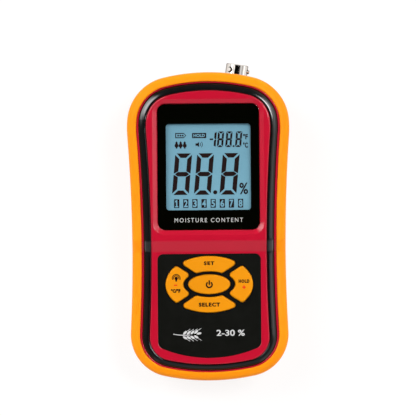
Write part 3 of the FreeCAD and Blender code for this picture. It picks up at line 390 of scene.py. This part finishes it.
# ---------------------------------------------------------------- dress the CAD nodes
def dress():
    """A material for every node of the frame."""
    red = moulded("case_red", RED, rough=0.14, grain=0.22, depth=0.0015, mottle=0.02,
                  specular=0.5, scuffs=0.03, edge=0.35)
    black = moulded("frame_black", (0.012, 0.012, 0.012), rough=0.5, mottle=0.2)
    # The nickel's corners get painted shade from ambient occlusion.
    nickel = metal("nickel_plate", NICKEL, rough=0.06, brush=(1.0, 14.0, 1.0),
                   depth=0.0004, rim=0.15, crevice_shade=0.9)
    silicone = moulded("silicone_grey", (0.42, 0.43, 0.43), rough=0.45, grain=0.3, soften=0.2)
    key = moulded("key_orange", KEY_ORANGE, rough=0.36, grain=0.10, depth=0.004, mottle=0.04,
                  specular=0.08, soften=0.03)
    looks = {
        "rubber_boot": moulded("boot_rubber", ORANGE, rough=0.42, grain=0.12, depth=0.008,
                               mottle=0.03, specular=0.06, soften=0.03, scuffs=0.04),
        "front_case": red, "rear_case": red, "battery_door": red, "door_latch": red,
        "trim_ring": moulded("gloss_black", GLOSS_BLACK, rough=0.10, grain=0.5, depth=0.0006,
                             mottle=0.2, specular=0.75, scuffs=0.02, edge=0.8),
        "display_lens": clear_lens(),
        "lens_tape": moulded("tape_black", (0.015, 0.015, 0.015), rough=0.8, grain=0.3, mottle=0.3),
        "keypad_overlay": moulded("overlay_film", FILM_BLACK, rough=0.32, grain=0.08,
                                  depth=0.002, mottle=0.15, specular=0.08),
        "key_mat": silicone, "lcd_frame": black, "buzzer": black,
        "lcd_glass": moulded("lcd_glass", (0.16, 0.30, 0.36), rough=0.08, grain=0.4, depth=0.0005),
        "lcd_polariser": display_film("lcd_film", LCD_GLOW_BACKLIT_AND_PAINTED),
        "lcd_backlight": moulded("light_guide", (0.62, 0.74, 0.80), rough=0.25, soften=0.2),
        "zebra_strips": moulded("zebra_pink", (0.55, 0.25, 0.28), rough=0.6, grain=0.2, mottle=0.3),
        "main_board": circuit_board(),
        "micro_controller": moulded("chip_black", (0.018, 0.018, 0.02), rough=0.55, grain=0.1,
                                    depth=0.01, mottle=0.2),
        "chip_leads": metal("tinned", (0.72, 0.72, 0.71), rough=0.3),
        "crystal_can": metal("can_steel", (0.68, 0.67, 0.64), rough=0.24, brush=(1.0, 8.0, 1.0)),
        "capacitors": moulded("sleeve_blue", (0.012, 0.03, 0.16), rough=0.2, coat=0.4, grain=0.6),
        "board_screws": metal("screw_steel", (0.58, 0.58, 0.60), rough=0.3),
        "case_screws": metal("screw_black", (0.09, 0.09, 0.10), rough=0.32, tarnish=0.4),
        "battery": battery_jacket(), "battery_terminals": metal("stud", (0.70, 0.68, 0.62)),
        "battery_snap": moulded("snap_vinyl", (0.014, 0.014, 0.014), rough=0.42, grain=0.3),
        "battery_leads": two_leads("lead_wire", 0.0, (0.012, 0.012, 0.012, 1), (0.50, 0.01, 0.01, 1)),
        "battery_foam": foam(),
        "rating_label": moulded("label_silver", (0.56, 0.57, 0.58), rough=0.38, grain=0.2,
                                depth=0.002, mottle=0.05),
        "jack_shell": nickel, "jack_nut": nickel, "jack_washer": nickel,
        "jack_insert": moulded("insert_black", (0.014, 0.014, 0.015), rough=0.5, grain=0.2),
        "jack_contacts": metal("gold_contact", (0.83, 0.60, 0.24), rough=0.2),
        "jack_wires": two_leads("jack_wire", sum(p.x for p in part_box("jack_wires")) / 2,
                                (0.55, 0.55, 0.52, 1), (0.03, 0.10, 0.40, 1)),
    }
    looks["signal_chip"] = looks["micro_controller"]
    for name in KEYS:
        looks[name + "_key"] = key
        looks[name + "_dome"] = silicone
    for name, look in looks.items():
        mesh = NODES[name].data
        mesh.materials.clear()
        mesh.materials.append(look)
    missing = sorted(set(NODES) - set(looks))
    if missing:
        raise RuntimeError("nodes with no look: %s" % missing)


def smooth():
    """Smooth shading across shallow creases, sharp across the rest."""
    for node in NODES.values():
        node.data.shade_smooth()
        node.data.set_sharp_from_angle(angle=CREASE_ANGLE)


# ---------------------------------------------------------------- flat prints
def arc(cx, cy, rx, ry, first, last, count=24):
    """Points along an ellipse's arc, angles in degrees, sizes in millimetres."""
    angles = [math.radians(first + (last - first) * i / count) for i in range(count + 1)]
    return [(cx + rx * math.cos(a), cy + ry * math.sin(a)) for a in angles]


def disc(cx, cy, radius):
    """A circle's outline."""
    return arc(cx, cy, radius, radius, 0, 360, 28)[:-1]


def band(cx, cy, radius, width, first, last):
    """A stroke along an arc."""
    outer = arc(cx, cy, radius + width / 2, radius + width / 2, first, last)
    inner = arc(cx, cy, radius - width / 2, radius - width / 2, last, first)
    return outer + inner


def bar(x0, y0, x1, y1):
    """A rectangle's outline from two opposite corners."""
    return [(x0, y0), (x1, y0), (x1, y1), (x0, y1)]


def rounded(width, height, radius, cx=0.0, cy=0.0):
    """A rectangle's outline with round corners."""
    a, b = width / 2 - radius, height / 2 - radius
    loop = []
    for i, (x, y) in enumerate(((a, b), (-a, b), (-a, -b), (a, -b))):
        loop += arc(cx + x, cy + y, radius, radius, 90 * i, 90 * i + 90, 8)
    return loop


def stroke(points, width):
    """A closed outline of even width round an open run of points."""
    left, right = [], []
    for i, (x, y) in enumerate(points):
        x0, y0 = points[max(i - 1, 0)]
        x1, y1 = points[min(i + 1, len(points) - 1)]
        size = math.hypot(x1 - x0, y1 - y0)
        nx, ny = -(y1 - y0) / size * width / 2, (x1 - x0) / size * width / 2
        left.append((x + nx, y + ny))
        right.append((x - nx, y - ny))
    return left + right[::-1]


def turned(loops, angle, dx=0.0, dy=0.0):
    """Outlines turned by an angle in degrees, then moved."""
    c, s = math.cos(math.radians(angle)), math.sin(math.radians(angle))
    return [[(x * c - y * s + dx, x * s + y * c + dy) for x, y in loop] for loop in loops]


def leaned(loops, slope, dx=0.0, dy=0.0):
    """Outlines leaned to the right by a slope, then moved."""
    return [[(x + y * slope + dx, y + dy) for x, y in loop] for loop in loops]


def filled(loops):
    """Thin mesh from closed loops in millimetres. A loop inside another is a hole."""
    curve = bpy.data.curves.new("print", "CURVE")
    curve.dimensions = "2D"
    curve.fill_mode = "BOTH"
    curve.extrude = PRINT_THICK / 2
    for loop in loops:
        spline = curve.splines.new("POLY")
        spline.points.add(len(loop) - 1)
        for point, (x, y) in zip(spline.points, loop):
            point.co = (x * MM, y * MM, 0, 1)
        spline.use_cyclic_u = True
    return baked(curve)


def baked(curve):
    """The mesh of a curve or text, with the curve removed."""
    holder = bpy.data.objects.new("baking", curve)
    bpy.context.scene.collection.objects.link(holder)
    graph = bpy.context.evaluated_depsgraph_get()
    mesh = bpy.data.meshes.new_from_object(holder.evaluated_get(graph))
    bpy.data.objects.remove(holder)
    bpy.data.curves.remove(curve)
    return mesh


def lettered(text, height, width=None, weight=0.02, spacing=1.0):
    """Thin mesh of some characters, scaled to a height and width in millimetres about its middle."""
    curve = bpy.data.curves.new("letters", "FONT")
    curve.body = text
    curve.offset = weight
    curve.space_character = spacing
    curve.extrude = 0.01
    curve.resolution_u = 4
    mesh = baked(curve)
    xs, ys, zs = zip(*(v.co for v in mesh.vertices))
    tall = max(ys) - min(ys)
    scale_y = height * MM / tall
    scale_x = width * MM / (max(xs) - min(xs)) if width else scale_y
    middle = Vector(((max(xs) + min(xs)) / 2, (max(ys) + min(ys)) / 2, (max(zs) + min(zs)) / 2))
    mesh.transform(Matrix.Diagonal((scale_x, scale_y, PRINT_THICK / (max(zs) - min(zs)), 1.0))
                   @ Matrix.Translation(-middle))
    return mesh


def lay(name, mesh, at, body, look, back=False):
    """Puts a thin print at a point in the frame, on a body, face up or, on the back, face down."""
    piece = bpy.data.objects.new(name, mesh)
    bpy.context.scene.collection.objects.link(piece)
    turn = Matrix.Rotation(math.pi, 4, "Y") if back else Matrix.Identity(4)
    mesh.transform(Matrix.Translation(at) @ turn)
    mesh.materials.clear()
    mesh.materials.append(look)
    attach(piece, body)


def joined(meshes):
    """One mesh from several."""
    whole = bmesh.new()
    for mesh in meshes:
        whole.from_mesh(mesh)
        bpy.data.meshes.remove(mesh)
    made = bpy.data.meshes.new("joined")
    whole.to_mesh(made)
    whole.free()
    return made


def shifted(mesh, dx, dy):
    """A mesh moved by millimetres in its plane."""
    mesh.transform(Matrix.Translation((dx * MM, dy * MM, 0)))
    return mesh


# ---------------------------------------------------------------- the display
def mirrored(loop, i, j):
    """An outline multiplied by a sign along each axis."""
    return [(x * i, y * j) for x, y in loop]


def seven_segments(width, height, thick, gap):
    """All seven segments of a figure, mitred where they meet, about its middle."""
    x, y = width / 2, height / 2
    point = thick * 0.62
    top = [(-x + gap, y), (x - gap, y), (x - gap - thick, y - thick), (-x + gap + thick, y - thick)]
    side = [(-x, y - gap), (-x + thick, y - gap - thick), (-x + thick, gap * 0.55 + thick / 2),
            (-x + point * 0.2, gap * 0.5), (-x, gap * 0.7)]
    tip = -x + gap
    middle = [(tip, 0), (tip + point, thick / 2), (-tip - point, thick / 2), (-tip, 0),
              (-tip - point, -thick / 2), (tip + point, -thick / 2)]
    sides = [mirrored(side, i, j) for i in (1, -1) for j in (1, -1)]
    return [top, mirrored(top, 1, -1), middle] + sides


def one_segments(height, thick, gap):
    """The two right-hand segments that make a figure one."""
    half = thick / 2
    upper = [(-half, height / 2 - gap - half), (half, height / 2 - gap), (half, gap * 0.6),
             (0, gap * 0.5), (-half, gap * 0.8 + half)]
    return [upper, [(x, -y) for x, y in upper]]


def battery_icon():
    """A cell's outline with three charge bars."""
    cells = [bar(-1.6 + i * 1.1, -0.42, -0.85 + i * 1.1, 0.42) for i in range(3)]
    return [battery_outline(0.5), battery_outline(0.05)] + cells


def kernel_icon():
    """A standing grain: pointed tip, full body and short stalk."""
    right = [(0.32, -1.75), (0.32, -1.25), (0.78, -0.85), (0.84, -0.1), (0.45, 0.55), (0.5, 1.1),
             (0.24, 1.35), (0.0, 1.85)]
    return right + [(-x, y) for x, y in right[-2::-1]]


def battery_outline(grow):
    """Outline of a cell with a pointed end."""
    wide, tall = 2.1 + grow, 0.75 + grow
    return [(-wide, -tall), (wide - tall, -tall), (wide, 0), (wide - tall, tall), (-wide, tall)]


def figure_one():
    """A figure one with flag and foot."""
    return [(-0.12, 1.7), (0.3, 1.7), (0.3, -1.25), (0.75, -1.25), (0.75, -1.7), (-0.75, -1.7),
            (-0.75, -1.25), (-0.3, -1.25), (-0.3, 0.85), (-0.75, 0.55), (-0.75, 1.15)]


def speaker_icon():
    """A loudspeaker with two sound waves."""
    horn = [(-1.9, -0.55), (-1.15, -0.55), (-0.2, -1.2), (-0.2, 1.2), (-1.15, 0.55), (-1.9, 0.55)]
    return [horn, band(-0.6, 0, 1.15, 0.26, -42, 42), band(-0.6, 0, 1.95, 0.28, -42, 42)]


def mask_print(low, high, centre):
    """Black mask behind the lens, with a clear window."""
    wide, tall = (high.x - low.x) / MM, (high.y - low.y) / MM
    ink = moulded("lens_ink", LENS_INK, rough=0.5, grain=0.2, depth=0.001, mottle=0.1, specular=0.0)
    mask = filled([rounded(wide - MASK_INSET, tall - MASK_INSET, MASK_R),
                   rounded(VIEW_W, VIEW_H, VIEW_R)])
    under = Vector((centre.x, centre.y, low.z - PRINT_THICK / 2 - PRINT_LIFT / 2))
    lay("lens_mask", mask, under, "case", ink)


def figure_prints(at, dark):
    """The large reading and the small one over it."""
    big = []
    for x in BIG_DIGITS_X:
        big += leaned(seven_segments(*BIG_DIGIT), DIGIT_LEAN, x, BIG_DIGITS_Y)
    big.append(disc(*BIG_POINT))
    lay("display_main_figures", filled(big), at, "case", dark)

    small = []
    for x in SMALL_DIGITS_X:
        small += leaned(seven_segments(*SMALL_DIGIT), DIGIT_LEAN, x, SMALL_DIGITS_Y)
    small += leaned(one_segments(*SMALL_ONE), DIGIT_LEAN, SMALL_ONE_X, SMALL_DIGITS_Y)
    small += [bar(*MINUS), disc(*SMALL_POINT)]
    lay("display_small_figures", filled(small), at, "case", dark)


def symbol_prints(at, dark):
    """Battery, grains, loudspeaker, the boxes for the grain codes, and the units."""
    meshes = [filled(leaned(battery_icon(), 0, *BATTERY_AT)),
              filled(leaned(speaker_icon(), 0, *SPEAKER_AT)),
              filled([rounded(*HOLD_BOX, *HOLD_AT)])]
    meshes.append(filled([[(x * KERNEL_WIDTH + KERNEL_X + KERNEL_PITCH * i, y + KERNEL_Y)
                           for x, y in kernel_icon()] for i in range(3)]))
    meshes.append(filled([rounded(*BOX, FIRST_BOX_X + BOX_PITCH * i, BOX_Y) for i in range(BOXES)]))
    lay("display_symbols", joined(meshes), at, "case", dark)

    units = [shifted(lettered("%", *PERCENT_LETTERS), *PERCENT_AT),
             shifted(lettered("°F", *DEGREE_LETTERS), *FAHRENHEIT_AT),
             shifted(lettered("°C", *DEGREE_LETTERS), *CELSIUS_AT)]
    lay("display_units", joined(units), at, "case", dark)


def pale_prints(at, field):
    """The figures in their boxes and the word in its box, in the display's own blue."""
    pale = [filled([figure_one()])]
    pale += [lettered(str(i + 1), *BOX_LETTERS) for i in range(1, BOXES)]
    pale = [shifted(mesh, FIRST_BOX_X + BOX_PITCH * i, BOX_Y) for i, mesh in enumerate(pale)]
    pale.append(shifted(lettered("HOLD", *HOLD_LETTERS), *HOLD_AT))
    lay("display_pale_figures", joined(pale), at, "case", field)


def display_prints():
    """Dark mask behind the lens, all segments and symbols of the display, and its caption."""
    low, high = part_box("display_lens")
    centre = Vector(((low.x + high.x) / 2, (low.y + high.y) / 2, 0))
    mask_print(low, high, centre)

    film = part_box("lcd_polariser")[1].z
    at = Vector((centre.x, centre.y, film + PRINT_THICK / 2 + PRINT_LIFT))
    dark = moulded("lcd_segment", SEGMENT_INK, rough=0.5, grain=0.3, depth=0.001, mottle=0.15,
                   specular=0.03)
    field = display_film("lcd_field", LCD_GLOW_BACKLIT_AND_PAINTED)
    figure_prints(at, dark)
    symbol_prints(at, dark)
    pale_prints(at + Vector((0, 0, PRINT_THICK + PRINT_LIFT)), field)

    caption = lettered("MOISTURE CONTENT", *CAPTION_LETTERS)
    white = moulded("caption_ink", PRINT_WHITE, rough=0.5, grain=0.2, depth=0.001, mottle=0.05)
    spot = Vector((centre.x, centre.y + CAPTION_Y * MM, low.z - PRINT_THICK / 2 + PRINT_LIFT))
    lay("caption_print", caption, spot, "case", white)


# ---------------------------------------------------------------- the keypad
def white_ink():
    """Matt white ink of the keypad's and the battery's prints."""
    return moulded("print_white", PRINT_WHITE, rough=0.45, grain=0.2, depth=0.001, mottle=0.05)


def key_prints():
    """Legends and signs on the keys."""
    low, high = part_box("power_key")
    middle = Vector(((low.x + high.x) / 2, (low.y + high.y) / 2, 0))
    top = high.z + PRINT_THICK / 2 + PRINT_LIFT
    dark = moulded("legend_dark", LEGEND_INK, rough=0.45, grain=0.2, depth=0.001, mottle=0.1,
                   specular=0.02)
    red = moulded("legend_red", LEGEND_RED, rough=0.45, grain=0.2, depth=0.001, mottle=0.1,
                  specular=0.1)

    def legend(key, part, mesh, spot, look):
        at = Vector((middle.x + spot[0] * MM, middle.y + spot[1] * MM, top))
        lay("%s_key_%s" % (key, part), mesh, at, key + "_key", look)

    legend("set", "legend", lettered("SET", *SET_LETTERS), SET_AT, dark)
    legend("select", "legend", lettered("SELECT", *SELECT_LETTERS), SELECT_AT, dark)
    legend("hold", "legend", lettered("HOLD", *KEY_HOLD_LETTERS), KEY_HOLD_AT, dark)
    legend("hold", "sign", filled([cross(*PLUS)]), PLUS_AT, red)
    bulb = arc(0, 0, 0.78, 0.78, -60, 240) + [(-0.42, -1.5), (0.42, -1.5)]
    lamp = [bulb, band(0, 0, 1.28, 0.36, -20, 200), band(0, 0, 1.86, 0.38, -20, 200)]
    legend("backlight", "lamp", joined([filled([loop]) for loop in lamp]), LAMP_AT, dark)
    legend("backlight", "sign", filled([bar(*TAKE)]), TAKE_AT, red)
    legend("backlight", "unit", lettered("°C/°F", *UNIT_LETTERS), UNIT_AT, dark)
    ring = [band(0, -0.2, 1.34, 0.70, 124, 416), bar(-0.36, -0.35, 0.36, 1.9)]
    legend("power", "legend", joined([filled([loop]) for loop in ring]), POWER_AT, dark)


def film_prints():
    """The ear of grain and the measuring range at the keypad film's lower end."""
    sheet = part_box("keypad_overlay")
    pale = white_ink()
    z = sheet[1].z + PRINT_THICK / 2 + PRINT_LIFT
    row = sheet[0].y + PRINT_ROW * MM
    lay("grain_ear_print", grain_ear(), Vector((EAR_X * MM, row, z)), "case", pale)
    lay("range_print", lettered("2-30 %", *RANGE_LETTERS), Vector((RANGE_X * MM, row, z)), "case",
        pale)


def cross(reach, half):
    """A plus sign's outline."""
    arm = [(reach, -half), (reach, half), (half, half)]
    return [p for turn in range(4) for p in turned([arm], 90 * turn)[0]]


def grain_ear():
    """An ear of grain lying on its side: a bent stem with paired kernels and beards."""
    def stem_at(x):
        return 0.018 * (x + 1.0) ** 2 - 1.0

    kernel = arc(0, 0, 1.15, 0.52, -140, 140, 14) + [(-1.25, 0)]
    pieces = [filled([stroke([(x * 0.5, stem_at(x * 0.5)) for x in range(-13, 4)], STEM_WIDTH)])]
    for i in range(4):
        x = -1.6 + i * EAR_PITCH
        for side in (1, -1):
            loops = turned([kernel], 38 * side + 6, x + 0.7, stem_at(x) + 1.18 * side)
            beard = [(x + 1.7, stem_at(x) + 1.95 * side), (x + 3.1, stem_at(x) + 2.85 * side)]
            pieces += [filled(loops), filled([stroke(beard, BEARD_WIDTH)])]
    pieces.append(filled(turned([kernel], 12, 5.7, stem_at(5.7))))
    return joined(pieces)


# ---------------------------------------------------------------- back and battery
def label_print(dark):
    """A plain form on the rating label."""
    low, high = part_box("rating_label")
    z = low.z - PRINT_THICK / 2 - PRINT_LIFT
    at = Vector(((low.x + high.x) / 2, (low.y + high.y) / 2, z))
    wide, tall = (high.x - low.x) / MM, (high.y - low.y) / MM
    border = [rounded(wide - inset, tall - inset, corner)
              for inset, corner in zip(LABEL_INSETS, LABEL_CORNERS)]
    rows = [bar(LABEL_ROW_START, y, LABEL_ROW_ENDS[i % 2], y + LABEL_ROW_THICK)
            for i, y in enumerate(LABEL_ROWS_Y)]
    cell = [rounded(7.5, 4.6, 0.5, *LABEL_CELL_AT), rounded(6.9, 4.0, 0.3, *LABEL_CELL_AT)]
    meshes = [filled(border), filled(rows), filled(cell),
              shifted(lettered("9 V", 3.4), *LABEL_VOLTS_AT),
              shifted(lettered("+  -", 1.6, 4.6), *LABEL_CELL_AT)]
    lay("rating_label_print", joined(meshes), at, "case", dark, back=True)


def battery_prints(dark, white):
    """Polarity marks and voltage on the battery's underside."""
    low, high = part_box("battery")
    z = low.z - PRINT_THICK / 2 - PRINT_LIFT
    marks = [shifted(lettered("+", 3.0, 3.0), -POLARITY_X, 0),
             shifted(lettered("-", 0.7, 2.6), POLARITY_X, 0)]
    lay("battery_polarity_print", joined(marks), Vector((0, high.y - POLARITY_DOWN * MM, z)), "case",
        dark, back=True)
    lay("battery_voltage_print", lettered("9 V", 6.5), Vector((0, low.y + VOLTAGE_UP * MM, z)), "case",
        white, back=True)


def back_prints():
    """Prints on the rating label and on the battery."""
    dark = moulded("label_ink", (0.02, 0.02, 0.022), rough=0.5, grain=0.2, depth=0.001, mottle=0.1)
    label_print(dark)
    battery_prints(dark, white_ink())


# ---------------------------------------------------------------- soft parts
def domes():
    """A copy of each key's silicone dome with a mesh of its own, on the case, in place of the hidden CAD
    dome. The real dome flattens as its key goes down.
    """
    for name in KEYS:
        dome = bpy.data.objects.new(name + "_dome_skin", NODES[name + "_dome"].data.copy())
        bpy.context.scene.collection.objects.link(dome)
        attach(dome, "case")
        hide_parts(name + "_dome")
        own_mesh(dome)


def foam_pad():
    """Pad glued to the door: flat underneath, pulled in at the waist, crowned towards the battery."""
    low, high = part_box("battery_foam")
    middle, half = (low + high) / 2, (high - low) / 2
    wide, deep = half.x / MM, half.y / MM
    outline = []
    for side_x, side_y, first in ((1, 1, 0), (-1, 1, 90), (-1, -1, 180), (1, -1, 270)):
        outline += arc(side_x * (wide - PAD_CORNER), side_y * (deep - PAD_CORNER),
                       PAD_CORNER, PAD_CORNER, first, first + 90, 6)
    count, points, faces = len(outline), [], []
    for inset, rise in PAD_RINGS:
        z = low.z + rise * (high.z - low.z)
        points += [(middle.x + x * MM * (wide - inset) / wide,
                    middle.y + y * MM * (deep - inset) / deep, z) for x, y in outline]
    for ring in range(len(PAD_RINGS) - 1):
        for i in range(count):
            a, b = ring * count + i, ring * count + (i + 1) % count
            faces.append((a, b, b + count, a + count))
    last = count * (len(PAD_RINGS) - 1)
    faces += [tuple(reversed(range(count))), tuple(range(last, last + count))]
    mesh = bpy.data.meshes.new("foam_pad")
    mesh.from_pydata(points, [], faces)
    mesh.shade_smooth()
    mesh.set_sharp_from_angle(angle=PAD_CREASE)
    mesh.materials.append(NODES["battery_foam"].data.materials[0])
    pad = bpy.data.objects.new("foam_pad", mesh)
    bpy.context.scene.collection.objects.link(pad)
    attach(pad, "battery_door")
    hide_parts("battery_foam")


# ---------------------------------------------------------------- studio
def camera():
    """Long-lens camera straight over the face."""
    low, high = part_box("rubber_boot")
    away = VIEW_WIDTH * CAMERA_LENS / SENSOR
    data = bpy.data.cameras.new("camera")
    data.lens, data.sensor_width = CAMERA_LENS, SENSOR
    data.clip_start, data.clip_end = CLIP_START, CLIP_END
    made = bpy.data.objects.new("camera", data)
    made.location = ((low.x + high.x) / 2 + IMAGE_CENTRE[0], (low.y + high.y) / 2 + IMAGE_CENTRE[1],
                     high.z + away)
    made.rotation_euler = (0, 0, CAMERA_ROLL)
    bpy.context.scene.collection.objects.link(made)
    bpy.context.scene.camera = made


def heading(azimuth, elevation):
    """Unit direction from angles in degrees."""
    a, e = math.radians(azimuth), math.radians(elevation)
    return math.cos(a) * math.cos(e), math.sin(a) * math.cos(e), math.sin(e)


def soft_light(t, way, azimuth, elevation, inner, outer, radiance):
    """A round light in the tent with a soft edge."""
    made = t.node("VectorMath", {"operation": "DOT_PRODUCT"})
    t.put(made.inputs[0], way)
    t.put(made.inputs[1], heading(azimuth, elevation))
    near = t.node("MapRange", {"interpolation_type": "SMOOTHSTEP"}, Value=made.outputs["Value"],
                  From_Min=math.cos(math.radians(outer)), From_Max=math.cos(math.radians(inner)),
                  To_Min=0.0, To_Max=radiance)
    return near.outputs["Result"]


def heights(fade):
    """Z of the directions at two elevations in degrees."""
    return [math.sin(math.radians(degrees)) for degrees in fade]


def floor():
    """Pale plain floor."""
    floor_mesh = bpy.data.meshes.new("floor")
    corners = bar(-FLOOR_REACH, -FLOOR_REACH, FLOOR_REACH, FLOOR_REACH)
    floor_mesh.from_pydata([(x, y, -FLOOR_DROP) for x, y in corners], [], [(0, 1, 2, 3)])
    made_floor = bpy.data.objects.new("floor", floor_mesh)
    bpy.context.scene.collection.objects.link(made_floor)
    material = bpy.data.materials.new("floor_white")
    t = Tree(material)
    tone = t.mix(t.noise(0.3), rgba([FLOOR_TONE] * 3), rgba([FLOOR_TONE * 1.04] * 3))
    made = t.node("BsdfPrincipled", Base_Color=tone, Roughness=0.9, Specular_IOR_Level=0.0,
                  Emission_Color=(1, 1, 1, 1), Emission_Strength=FLOOR_GLOW)
    t.surface(made.outputs[0])
    floor_mesh.materials.append(material)


def tent():
    """Light tent, dark overhead and brightest at its two upper corners."""
    world = bpy.data.worlds.new("tent")
    bpy.context.scene.world = world
    t = Tree(world)
    way = t.node("TexCoord").outputs["Generated"]
    parts = t.node("SeparateXYZ", Vector=way)
    up, across = parts.outputs["Z"], parts.outputs["X"]
    walls = t.spread(up, *heights(TENT_FADE), TENT_RADIANCE, 0.0)
    horizon = t.spread(up, *heights(HORIZON_FADE), HORIZON_RADIANCE, 0.0)
    right = t.math("MULTIPLY", t.spread(across, *RIGHT_EDGE, 0.0, RIGHT_RADIANCE),
                   t.spread(up, *heights(RIGHT_FADE), 1.0, 0.0))
    total = t.math("ADD", t.math("ADD", walls, horizon), right)
    for light in SOFT_LIGHTS:
        total = t.math("ADD", total, soft_light(t, way, *light))
    background = t.node("Background", Color=(1, 1, 1, 1))
    t.put(background.inputs["Strength"], total)
    out = t.node("OutputWorld")
    t.put(out.inputs["Surface"], background.outputs[0])
    bpy.context.scene.view_settings.view_transform = "Standard"


def main():
    camera()
    smooth()
    dress()
    display_prints()
    key_prints()
    film_prints()
    back_prints()
    domes()
    foam_pad()
    floor()
    tent()


main()
